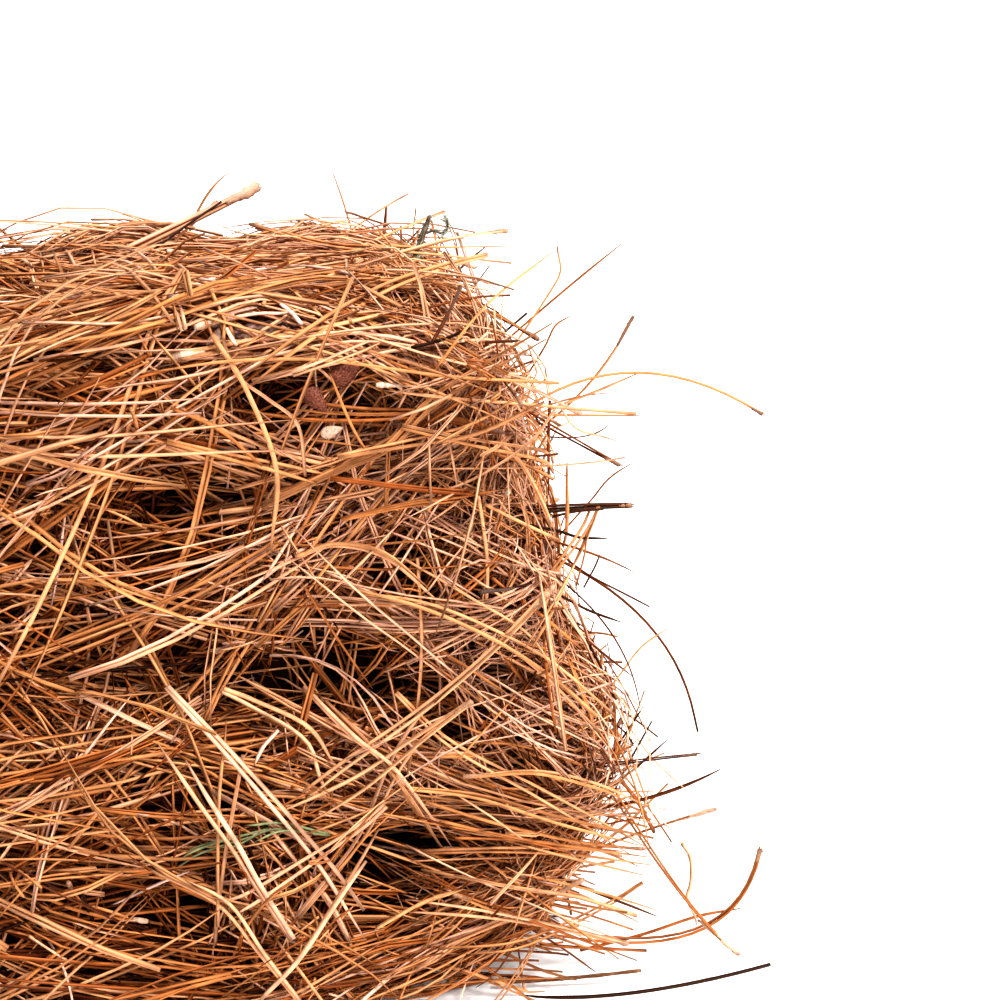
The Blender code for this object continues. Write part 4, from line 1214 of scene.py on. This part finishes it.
# ------------------------------------------------------------------ straw that sticks out
# Name, how many needles (none is a twig), tone, root, tip and bow, which is how far its middle
# stands off the straight line.
LOOSE_STRAW = (
    ("right_needle_1", 1, 0.50, (0.290, -0.050, 0.290), (0.383, -0.050, 0.367), (0.004, 0.0, 0.005)),
    ("right_needle_2", 1, 0.58, (0.310, -0.120, 0.280), (0.375, -0.120, 0.342), (0.005, 0.0, -0.007)),
    ("right_needle_3", 1, 0.62, (0.300, -0.140, 0.290), (0.436, -0.140, 0.298), (-0.004, 0.0, 0.026)),
    ("right_needle_4", 1, 0.60, (0.290, -0.150, 0.307), (0.372, -0.152, 0.302), (0.0, 0.0, -0.001)),
    ("right_needle_5", 1, 0.14, (0.310, -0.160, 0.299), (0.354, -0.160, 0.300), (0.006, 0.0, -0.005)),
    ("right_bundle_1", 2, 0.20, (0.300, -0.150, 0.316), (0.359, -0.160, 0.281), (0.004, 0.0, -0.003)),
    ("right_bundle_2", 3, 0.04, (0.300, -0.150, 0.256), (0.368, -0.150, 0.257), (0.0, 0.0, 0.001)),
    ("dark_twig_1", 0, 0.30, (0.300, -0.160, 0.005), (0.376, -0.170, 0.010), (0.0, 0.0, -0.001)),
    ("right_needle_6", 1, 0.72, (0.336, -0.150, 0.238), (0.331, -0.175, 0.281), (0.0, -0.004, -0.003)),
    ("right_needle_7", 1, 0.30, (0.310, -0.160, 0.250), (0.377, -0.165, 0.224), (0.0, 0.0, 0.003)),
    ("right_needle_8", 1, 0.28, (0.310, -0.140, 0.240), (0.402, -0.160, 0.152), (0.016, 0.0, 0.008)),
    ("right_needle_9", 1, 0.14, (0.330, -0.150, 0.225), (0.370, -0.172, 0.160), (0.008, 0.0, 0.003)),
    ("right_needle_10", 1, 0.24, (0.320, -0.150, 0.096), (0.414, -0.160, 0.118), (0.002, 0.0, -0.007)),
    ("right_needle_11", 2, 0.08, (0.320, -0.160, 0.121), (0.401, -0.165, 0.129), (0.0, 0.0, 0.001)),
    ("right_bundle_3", 2, 0.66, (0.300, -0.130, 0.035), (0.410, -0.172, 0.101), (0.0, 0.0, 0.004)),
    ("right_bundle_4", 2, 0.40, (0.300, -0.150, 0.038), (0.437, -0.170, 0.073), (0.030, 0.0, -0.034)),
    ("right_bundle_5", 2, 0.50, (0.346, -0.164, 0.137), (0.422, -0.184, 0.025), (0.006, 0.0, -0.018)),
    ("right_needle_12", 1, 0.04, (0.300, -0.170, 0.006), (0.444, -0.177, 0.010),
     (-0.013, -0.007, -0.004)),
    ("right_needle_13", 1, 0.55, (0.300, 0.060, 0.220), (0.420, 0.085, 0.262), (0.0, 0.0, 0.012)),
    ("right_needle_14", 1, 0.60, (0.300, 0.020, 0.090), (0.418, 0.040, 0.060), (0.0, 0.0, 0.010)),
    ("right_bundle_6", 2, 0.50, (0.300, 0.120, 0.150), (0.398, 0.150, 0.172), (0.0, 0.004, 0.006)),
    ("top_needle_1", 1, 0.72, (0.262, 0.100, 0.330), (0.238, 0.100, 0.415), (0.003, 0.0, 0.003)),
    ("top_needle_2", 1, 0.70, (0.225, 0.120, 0.340), (0.285, 0.120, 0.384), (0.002, 0.0, 0.004)),
    ("top_needle_3", 1, 0.55, (0.150, 0.100, 0.340), (0.183, 0.100, 0.403), (-0.004, 0.0, 0.007)),
    ("top_bundle_1", 2, 0.66, (0.120, 0.055, 0.335), (0.175, 0.060, 0.387), (0.0, 0.0, 0.002)),
    ("top_needle_4", 1, 0.60, (-0.080, 0.020, 0.330), (-0.150, 0.060, 0.400), (-0.006, 0.0, 0.004)),
    ("top_bundle_2", 3, 0.55, (-0.240, -0.110, 0.330), (-0.300, -0.150, 0.392), (0.0, 0.0, 0.008)),
    ("left_needle_1", 1, 0.58, (-0.300, -0.100, 0.300), (-0.428, -0.130, 0.338), (0.0, 0.0, 0.014)),
    ("left_needle_2", 1, 0.45, (-0.310, 0.050, 0.230), (-0.436, 0.070, 0.196), (0.0, 0.0, 0.016)),
    ("left_bundle_1", 2, 0.55, (-0.310, -0.040, 0.130), (-0.418, -0.060, 0.158), (0.0, 0.0, -0.010)),
    ("left_needle_3", 1, 0.35, (-0.310, 0.130, 0.060), (-0.424, 0.150, 0.034), (0.0, 0.0, 0.008)),
    ("left_needle_4", 1, 0.60, (-0.310, -0.140, 0.040), (-0.410, -0.176, 0.020), (0.0, 0.0, 0.006)),
    ("back_needle_1", 1, 0.58, (0.200, 0.140, 0.280), (0.290, 0.216, 0.310), (0.0, 0.006, 0.004)),
    ("back_needle_2", 1, 0.50, (-0.060, 0.150, 0.140), (-0.150, 0.218, 0.110), (0.0, 0.006, 0.008)),
    ("back_bundle_1", 2, 0.60, (-0.250, 0.130, 0.240), (-0.310, 0.210, 0.270), (0.0, 0.004, 0.006)),
    ("front_needle_1", 1, 0.62, (-0.050, -0.140, 0.260), (-0.140, -0.216, 0.230), (0.0, -0.006, 0.008)),
    ("front_bundle_1", 3, 0.50, (-0.210, -0.140, 0.110), (-0.290, -0.208, 0.140), (0.0, -0.004, -0.006)),
    ("front_needle_2", 1, 0.66, (0.130, -0.150, 0.060), (0.055, -0.214, 0.026), (0.0, -0.004, 0.008)),
)
# Where a strand differs from the rest: how thick it is, and how long and how pale the boot at its
# outer end is.
LOOKS = {
    "pale_stalk": (0.00152, 0.020, 0.86),
    "right_needle_2": (0.00078, 0.014, 0.34),
    "right_needle_3": (0.00080, 0.005, 0.34),
    "right_needle_5": (0.00050, 0.0, 0.0),
    "right_needle_6": (0.00110, 0.0, 0.0),
    "right_needle_9": (0.00060, 0.0, 0.0),
    "right_needle_10": (0.00105, 0.0, 0.0),
    "right_needle_11": (0.00056, 0.007, 0.16),
    "right_needle_12": (0.00118, 0.001, 0.0),
    "right_bundle_1": (0.00064, 0.008, 0.34),
    "right_bundle_2": (0.00082, 0.005, 0.40),
    "right_bundle_3": (0.00070, 0.022, 0.78),
    "right_bundle_4": (0.00088, 0.006, 0.50),
    "right_bundle_5": (0.00078, 0.026, 0.84),
}
STALK = ("pale_stalk", 3, 0.74, (0.070, 0.040, 0.340), (0.199, 0.060, 0.396), (0.0, 0.0, -0.001))
LICHEN_TWIG = ((0.280, 0.040, 0.300), (0.296, 0.030, 0.381), (-0.004, 0.0, 0.002))


def bowed(root, tip, bow, points):
    """The route of a bowed strand from its root to its tip."""
    share = np.linspace(0, 1, points)[:, None]
    root, tip, bow = np.array(root), np.array(tip), np.array(bow)
    return root + (tip - root) * share + bow * (4 * share * (1 - share))


# How wide the boot is along its length, from its open mouth.
END_SHAPE = (1.10, 1.38, 1.20, 1.30, 1.06, 1.16, 0.98, 1.04, 0.90, 0.94, 0.84, 0.80, 0.70)
FLARED_END = (1.25, 1.62, 1.50, 1.58, 1.36, 1.44, 1.24, 1.20, 1.06, 1.02, 0.92, 0.86, 0.80)


TORN, TORN_REACH = 5, 0.0022  # how many scales, and half of how long they are
TORN_SHAPE = (0.00045, 0.00042, 0.00030, 0.00010)  # how thick they are along their length


def add_end(strands, path, thick, shade, length, shape=END_SHAPE, rough=0.16):
    """The rough boot at the root of needles that stick out, with a few torn scales at its mouth."""
    way = unit(path[:1] - path[2:3])
    steps = np.linspace(0.0016, -length, len(shape))[:, None]
    line = path[:1] + way * steps + rng.normal(0, 0.00010, (len(shape), 3))
    width = np.array(shape) * thick * rng.uniform(0.92, 1.08, len(shape))
    normals = np.tile(FACING, (len(shape), 1))
    strands.loft(line, normals, width, width * 0.85, 8, rough, SHEATH, shade=shade)
    side = unit(np.cross(way, rng.normal(size=(TORN, 3)))) * thick * 0.8
    share = np.linspace(-1, 1, len(TORN_SHAPE))[None, :, None]
    scales = line[None, :1] + side[:, None] * (0.8 + 0.3 * share) + way * share * TORN_REACH
    radii = np.tile(TORN_SHAPE, (TORN, 1))
    tones = np.clip(shade + rng.normal(0.10, 0.10, TORN), 0, 1)
    strands.tubes(scales, np.tile(normals[0], (*radii.shape, 1)), radii, tones, SHEATH)


LOOSE_POINTS = 18
TWIG_THICK = 0.0011
# Half width, boot length and boot tone of a bundle and of a single needle. A bundle's boot is so
# much paler than the bundle, up to a limit.
BUNDLE_LOOK, NEEDLE_LOOK = (0.00105, 0.012), (0.00084, 0.0, 0.0)
BOOT_PALER, BOOT_PALEST = 0.22, 0.70
RIGHT_END_SHADE = 0.75  # painted shade: how light the loose straw at the right end is beside the rest
LONG_BOOT = 0.015  # a boot longer than this is flared


def add_loose(row):
    """One strand that sticks out: a single needle, or needles that come out of one sheath."""
    name, needles, tone, root, tip, bow = row
    small = Strands((24, 6, 0))
    path = bowed(root, tip, bow, LOOSE_POINTS)
    if needles == 0:
        share, step = np.linspace(0, 1, LOOSE_POINTS), np.arange(LOOSE_POINTS)
        thick = TWIG_THICK * (1 - 0.15 * share) * (1 + 0.12 * np.sin(step * 1.7))
        small.loft(path, np.tile((0.0, -1.0, 0.3), (LOOSE_POINTS, 1)), thick, thick, sides=8, rough=0.10)
        keep(small, name + "_bark", [name], (DARK_TWIG,))
        return
    # painted shade on the loose straw at the right end
    if name.startswith("right"):
        tone = tone * RIGHT_END_SHADE
    usual = (*BUNDLE_LOOK, min(tone + BOOT_PALER, BOOT_PALEST)) if needles > 1 else NEEDLE_LOOK
    thick, boot, pale = LOOKS.get(name, usual)
    if boot > 0:
        path = path[::-1]
    normals = np.tile(FACING, (1, LOOSE_POINTS, 1))
    add_bundles(small, path[None], normals, np.array([tone]), np.array([thick]), needles, 0.0015, 0.0)
    if name == STALK[0]:
        add_end(small, path, thick * 1.45, pale, boot, FLARED_END, 0.22)
    elif boot > LONG_BOOT:
        add_end(small, path, thick * 1.15, pale, boot, FLARED_END, 0.24)
    elif pale > 0:
        add_end(small, path, thick * (1.30 if needles > 1 else 1.10), pale, boot)
    keep(small, name + "_fine", [name], (NEEDLES, SHEATHS))


# ------------------------------------------------------------------ twine
PLIES = 3
TWIST = 0.011  # length of one turn of the plies
PER_TURN = 5  # points of the middle line in each turn
UNDER_STRAW = 0.007  # how far below the straw's surface a twine lies where it is covered
EASING = 8  # rounds of smoothing where a twine goes in under the straw


def twine_loop(name):
    """The middle line of a packed twine: the outline of its mesh, moved in by its radius."""
    points, _ = node_mesh(name)
    flat = points[:, [0, 2]]
    hull = flat[convex_hull_2d([tuple(p) for p in flat])]
    closed = np.concatenate([hull, hull[:1]])
    reach = np.concatenate([[0], np.cumsum(np.linalg.norm(np.diff(closed, axis=0), axis=1))])
    count = int(reach[-1] / TWIST * PER_TURN)
    at = np.linspace(0, reach[-1], count, endpoint=False)
    ring = np.stack([np.interp(at, reach, closed[:, i]) for i in range(2)], 1)
    for _ in range(2):
        ring = (np.roll(ring, 1, 0) + 2 * ring + np.roll(ring, -1, 0)) / 4
    way = unit(np.roll(ring, -1, 0) - np.roll(ring, 1, 0))
    out = np.stack([way[:, 1], -way[:, 0]], 1)
    if ((ring - ring.mean(0)) * out).sum() < 0:
        out = -out
    ring = ring - out * TWINE_RADIUS
    y = points[:, 1].mean()
    line = np.stack([ring[:, 0], np.full(count, y), ring[:, 1]], 1)
    return line, np.stack([out[:, 0], np.zeros(count), out[:, 1]], 1)


def add_twist(strands, line, normals):
    """Plies wound round each other along a line."""
    way = unit(np.gradient(line, axis=0))
    side = unit(np.cross(way, normals))
    up = np.cross(side, way)
    reach = np.concatenate([[0], np.cumsum(np.linalg.norm(np.diff(line, axis=0), axis=1))])
    turn = 2 * np.pi * reach / TWIST
    plies = []
    for k in range(PLIES):
        angle = (turn + 2 * np.pi * k / PLIES)[:, None]
        plies.append(line + (side * np.cos(angle) + up * np.sin(angle)) * TWINE_RADIUS * 0.5)
    radii = np.full((PLIES, len(line)), TWINE_RADIUS * 0.56)
    normal = np.repeat(normals[None], PLIES, 0)
    tone = (np.arange(PLIES) + 0.5) / PLIES
    strands.tubes(np.array(plies), normal, radii, tone, sides=4, flat=1.0)


def sunk(line, out):
    """The loop where it lies under straw: moved in until the straw's surface is above it."""
    depth = np.clip(distance(line) + UNDER_STRAW, 0, None) * covered(line)
    for _ in range(EASING):
        depth = (np.roll(depth, 1) + 2 * depth + np.roll(depth, -1)) / 4
    return line - out * depth[:, None]


KNOT_TURNS, KNOT_POINTS = 3, 54
KNOT_PITCH, KNOT_RADIUS = 0.0034, 0.0036  # rise of a turn, and its distance from the twine's middle
TAIL, TAIL_POINTS = 0.045, 25
FRAY, HAIRS, HAIR_POINTS = 0.012, 14, 6  # the frayed end of a tail: its length, and its hairs


def knot_line(start, along, across, out):
    """The middle line of a knot's turns round the twine, with a tail that curls at each end."""
    angle = np.linspace(0, 2 * np.pi * KNOT_TURNS, KNOT_POINTS)[:, None]
    rise = np.linspace(-KNOT_TURNS / 2, KNOT_TURNS / 2, KNOT_POINTS)[:, None] * KNOT_PITCH
    coil = start + along * rise + (out * np.cos(angle) + across * np.sin(angle)) * KNOT_RADIUS
    share = np.linspace(0, 1, TAIL_POINTS + 1)[1:, None]
    for sign in (-1, 1):
        wave = 0.08 * np.sin(share * 7.0 + sign)
        reach = across * sign * share + out * (0.75 * share - 0.3 * share**2) + along * wave
        droop = np.array([0.0, 0.0, -0.35]) * share**2
        tail = coil[0 if sign < 0 else -1] + (reach + droop) * TAIL
        coil = np.concatenate([tail[::-1], coil] if sign < 0 else [coil, tail])
    return coil


def add_fray(strands, end, before):
    """The loose hairs at a twine's cut end."""
    share = np.linspace(0, 1, HAIR_POINTS)
    line = end + unit(end - before) * np.linspace(-0.3, 1, HAIR_POINTS)[:, None] * FRAY
    hairs = line[None] + rng.normal(0, 0.0045, (HAIRS, 1, 3)) * share[None, :, None] ** 1.5
    normal = np.tile((0.0, 0.0, 1.0), (HAIRS, HAIR_POINTS, 1))
    strands.tubes(hairs, normal, np.full((HAIRS, HAIR_POINTS), 0.00022), rng.uniform(0, 1, HAIRS))


def add_twine(side):
    """The loop round the bale, and the knot where its ends are tied at the left end."""
    line, out = twine_loop(side + "_twine")
    line = sunk(line, out)
    level = node_box(side + "_twine_knot").mean(0)[2]
    start = np.argmin(np.abs(line[:, 2] - level) + 10 * (line[:, 0] > 0))
    line, out = np.roll(line, -start, 0), np.roll(out, -start, 0)
    loop = Strands((6, 0, 0))
    add_twist(loop, np.concatenate([line, line[:1]]), np.concatenate([out, out[:1]]))
    keep(loop, side + "_twine_plies", [side + "_twine"], (TWINE,))
    knot = Strands((6, 0, 0))
    along = unit(line[1] - line[-1])
    coil = knot_line(line[0], along, np.cross(along, out[0]), out[0])
    add_twist(knot, coil, unit(np.cross(np.gradient(coil, axis=0), along)))
    add_fray(knot, coil[0], coil[2])
    add_fray(knot, coil[-1], coil[-3])
    keep(knot, side + "_twine_knot_plies", [side + "_twine_knot"], (TWINE,))


# ------------------------------------------------------------------ twig with lichen
FORK = 0.84  # share of the twig's length where the branchlet leaves it
# Places along the curled branchlet, as shares of its node's box.
BRANCHLET = (
    (0.30, 0.60, 0.42), (0.62, 0.50, 0.34), (0.84, 0.40, 0.46), (0.86, 0.30, 0.72), (0.74, 0.25, 0.92))
# A stub of the twig that lies along the straw at its foot, grown over with lichen as well.
STUB = ((0.288, 0.030, 0.356), (0.276, 0.014, 0.361), (0.266, -0.004, 0.360), (0.260, -0.018, 0.356))
TWIG_POINTS, STUB_POINTS, BRANCHLET_POINTS = 36, 24, 20
TWIG_WIDTH, STUB_WIDTH, BRANCHLET_WIDTH = 0.0020, 0.0017, 0.0009


def add_twig():
    """A rough broken twig grown over with lichen, and the branchlet at its fork."""
    path = smooth(bowed(*LICHEN_TWIG, 9)[None], TWIG_POINTS)[0]
    share = np.linspace(0, 1, TWIG_POINTS)
    knobs = 1 + 0.10 * np.sin(share * 31) + 0.10 * np.sin(share * 71)
    thick = TWIG_WIDTH * (1.05 - 0.25 * share) * knobs
    thick[-1] *= 0.7
    normals = np.tile((0.0, -1.0, 0.0), (TWIG_POINTS, 1))
    twig = Strands((12, 12, 0))
    twig.loft(path, normals, thick, thick, sides=10, rough=0.14)
    add_lichen(twig, path[16:], 60, 0.0045)
    stub = smooth(np.array(STUB)[None], STUB_POINTS)[0]
    knobs = 1 + 0.12 * np.sin(np.arange(STUB_POINTS) * 1.9)
    width = STUB_WIDTH * (1.1 - 0.5 * np.linspace(0, 1, STUB_POINTS)) * knobs
    twig.loft(stub, normals[:STUB_POINTS], width, width, sides=8, rough=0.15)
    add_lichen(twig, stub, 110, 0.0062)
    keep(twig, "lichen_twig_bark", ["lichen_twig"], (TWIG_BARK, LICHEN))
    low, high = node_box("lichen_branchlet")
    fork = path[int(FORK * len(path))]
    turns = [low + (high - low) * np.array(place) for place in BRANCHLET]
    small = smooth(np.array([fork, *turns])[None], BRANCHLET_POINTS)[0]
    width = BRANCHLET_WIDTH * (1 - 0.55 * np.linspace(0, 1, BRANCHLET_POINTS))
    branchlet = Strands((12, 12, 0))
    branchlet.loft(small, normals[:BRANCHLET_POINTS], width, width, sides=8, rough=0.15)
    add_lichen(branchlet, small[5:], 40, 0.0040)
    keep(branchlet, "lichen_branchlet_bark", ["lichen_branchlet"], (TWIG_BARK, LICHEN))


THREAD_POINTS = 6
THREAD_WIDTHS = (0.00042, 0.00018)  # half widths of a thread of lichen at its root and its tip


def add_lichen(strands, path, count, length):
    """Curly threads of lichen that grow from a twig."""
    root = path[rng.integers(0, len(path), count)]
    way = unit(rng.normal(size=(count, 3)))
    curl = np.cross(way, unit(rng.normal(size=(count, 3))))
    share = np.linspace(0, 1, THREAD_POINTS)[None, :, None]
    length = length * rng.uniform(0.5, 1.3, (count, 1, 1))
    threads = root[:, None] + (way[:, None] * share + curl[:, None] * 0.5 * share**2) * length
    threads = threads + rng.normal(0, 0.0003, threads.shape)
    radii = np.linspace(*THREAD_WIDTHS, THREAD_POINTS)[None, :] * rng.uniform(0.7, 1.3, (count, 1))
    normals = np.tile((0.0, -1.0, 0.2), (count, THREAD_POINTS, 1))
    strands.tubes(threads, normals, radii, rng.uniform(0, 1, count), SHEATH, 4)


# ------------------------------------------------------------------ litter
# Name, the node's long side, short side and thickness, and its turn on the straw.
LITTER = (
    ("bark_flake", 0.030, 0.013, 0.0022, 8.0),
    ("cone_scale_1", 0.016, 0.010, 0.0035, 35.0),
    ("cone_scale_2", 0.013, 0.009, 0.0032, -50.0),
    ("cone_scale_3", 0.015, 0.010, 0.0035, 15.0),
    ("bud_scale_1", 0.011, 0.007, 0.0022, 70.0),
    ("bud_scale_2", 0.010, 0.006, 0.0020, 20.0),
    ("bud_scale_3", 0.012, 0.007, 0.0022, -30.0),
)
LITTER_SINK = 0.002  # how much deeper than the plain solids the litter lies in the straw
LITTER_RINGS = 17
# Two more places that should show: the foot of the lichen twig, and the middle of the pale stalk.
SHOWN = (((0.290, 0.030, 0.372), 0.007), ((0.135, 0.045, 0.374), 0.012))
SHOWN_FACING = (-0.1, -0.95, 0.3)


def litter_place(name):
    """The middle of a scrap's node, and the way the straw under it faces."""
    middle = node_box(name).mean(0)
    _, n = field(middle[None])
    return middle, n[0]


def clearing(name, reach):
    """Where a scrap of litter lies, the way it faces, and how much of it should show."""
    middle, n = litter_place(name)
    return middle - n * LITTER_SINK, n, reach


def bark_form(share, width, thick):
    """A flat flake with an uneven edge: its half widths, half heights and curve."""
    wide = width / 2 * np.clip(np.sin(np.pi * (0.08 + 0.84 * share)) * 1.7, 0, 1)
    wide = wide * (1 + 0.16 * np.sin(share * 19) + 0.10 * np.sin(share * 43))
    return wide, thick / 2 * (1 + 0.2 * np.sin(share * 27)), 0.0012 * np.sin(share * 3.0)


def scale_form(share, width, thick):
    """A scale that is round at its root, narrows to its tip and curls up."""
    wide = width / 2 * np.sin(np.pi * share**0.8) ** 0.6 * (1.15 - 0.5 * share)
    return wide, thick / 2 * np.sin(np.pi * share) ** 0.5, thick * 0.8 * share**2


# For each kind of litter: its form, material, slot, roughness and how domed its top is.
LITTER_LOOKS = {
    "bark": (bark_form, BARK, "bark", 0.10, 1.0),
    "cone": (scale_form, CONE, "cone_scale", 0.20, 1.6),
    "bud": (scale_form, PAPERY, "pale_sheath", 0.06, 1.0),
}


def add_litter(name, length, width, thick, turn):
    """A flake of bark, a woody scale or a papery one, lying on the straw."""
    form, look, slot, rough, top = LITTER_LOOKS[name.split("_")[0]]
    middle, n = litter_place(name)
    across = unit(np.cross((0.0, 0.0, 1.0), n))
    up = np.cross(n, across)
    ahead = across * math.cos(math.radians(turn)) + up * math.sin(math.radians(turn))
    share = np.linspace(0, 1, LITTER_RINGS)
    wide, high, curve = form(share, width, thick)
    wide, high = np.maximum(wide, 0.0004), np.maximum(high, 0.0003)
    path = middle - n * LITTER_SINK + ahead * ((share - 0.5) * length)[:, None] + n * curve[:, None]
    small = Strands((12, 0, 0))
    small.loft(path, np.tile(n, (LITTER_RINGS, 1)), wide, high, sides=14, rough=rough, top=top)
    keep(small, name + "_fine", [name], (look,))


# ------------------------------------------------------------------ making everything
# Places that needles mostly keep clear of, so that what lies there shows.
CLEARINGS = [clearing(name, 0.36 * (length + width) / 2) for name, length, width, *_ in LITTER]
CLEARINGS += [(np.array(place), np.array(SHOWN_FACING), reach) for place, reach in SHOWN]
collected = [Strands() for _ in FLAKES]
loose = {side: Strands() for side in ("front", "back", "top", "crown", "right", "left")}
fill_straw(collected, loose)
fill_tufts(loose)
add_sweeps(loose["front"])
add_fan(loose["front"])
add_strays(loose["front"])
for strands, name in zip(collected, FLAKES):
    packed_body(strands, name)
    keep(strands, name + "_straw", [name])
for side, strands in loose.items():
    keep(strands, side + "_straw", ["top_flake"] if side == "crown" else [])
for row in LOOSE_STRAW + (STALK,):
    add_loose(row)
for side in ("front", "back"):
    add_twine(side)
add_twig()
for row in LITTER:
    add_litter(*row)

# ------------------------------------------------------------------ floor, light and camera
FLOOR = 30.0  # half of the floor's side
FLOOR_GREY = 0.9
SKY_STRENGTH = 0.85

scene = bpy.context.scene
floor_mesh = bpy.data.meshes.new("floor")
corners = [(x * FLOOR, y * FLOOR, 0) for x, y in ((-1, -1), (1, -1), (1, 1), (-1, 1))]
floor_mesh.from_pydata(corners, [], [(0, 1, 2, 3)])
floor = bpy.data.objects.new("floor", floor_mesh)
scene.collection.objects.link(floor)
floor_material, _, floor_shader = new_material("pale_floor", 0.9)
floor_shader.inputs["Base Color"].default_value = (FLOOR_GREY, FLOOR_GREY, FLOOR_GREY, 1.0)
floor_mesh.materials.append(floor_material)

world = bpy.data.worlds.new("studio")
scene.world = world
world.use_nodes = True
sky = world.node_tree.nodes["Background"]
sky.inputs["Color"].default_value = (1.0, 1.0, 1.0, 1.0)
sky.inputs["Strength"].default_value = SKY_STRENGTH


def sun(name, place, strength, spread):
    """Even light from far away in the direction of a place, with soft shadows."""
    data = bpy.data.lights.new(name, "SUN")
    data.energy = strength
    data.angle = math.radians(spread)
    light = bpy.data.objects.new(name, data)
    light.location = place
    light.rotation_mode = "QUATERNION"
    light.rotation_quaternion = (-Vector(place)).to_track_quat("-Z", "Y")
    scene.collection.objects.link(light)


sun("key", (0.6, -1.2, 2.2), 3.1, 10.0)
sun("fill", (2.0, -1.2, 0.9), 1.5, 30.0)
sun("side", (2.4, 0.3, 0.8), 0.8, 40.0)

CAMERA_PLACE = (0.195, -0.773, 0.448)
LOOKING_DOWN, LOOKING_RIGHT = 16.3, 10.0  # degrees

camera_data = bpy.data.cameras.new("camera")
camera_data.lens = 50.0
camera_data.sensor_width = 36.0
camera = bpy.data.objects.new("camera", camera_data)
camera.location = CAMERA_PLACE
camera.rotation_mode = "XYZ"
camera.rotation_euler = (math.radians(90 - LOOKING_DOWN), 0.0, -math.radians(LOOKING_RIGHT))
scene.collection.objects.link(camera)
scene.camera = camera
scene.view_settings.view_transform = "Standard"
scene.view_settings.look = "High Contrast"
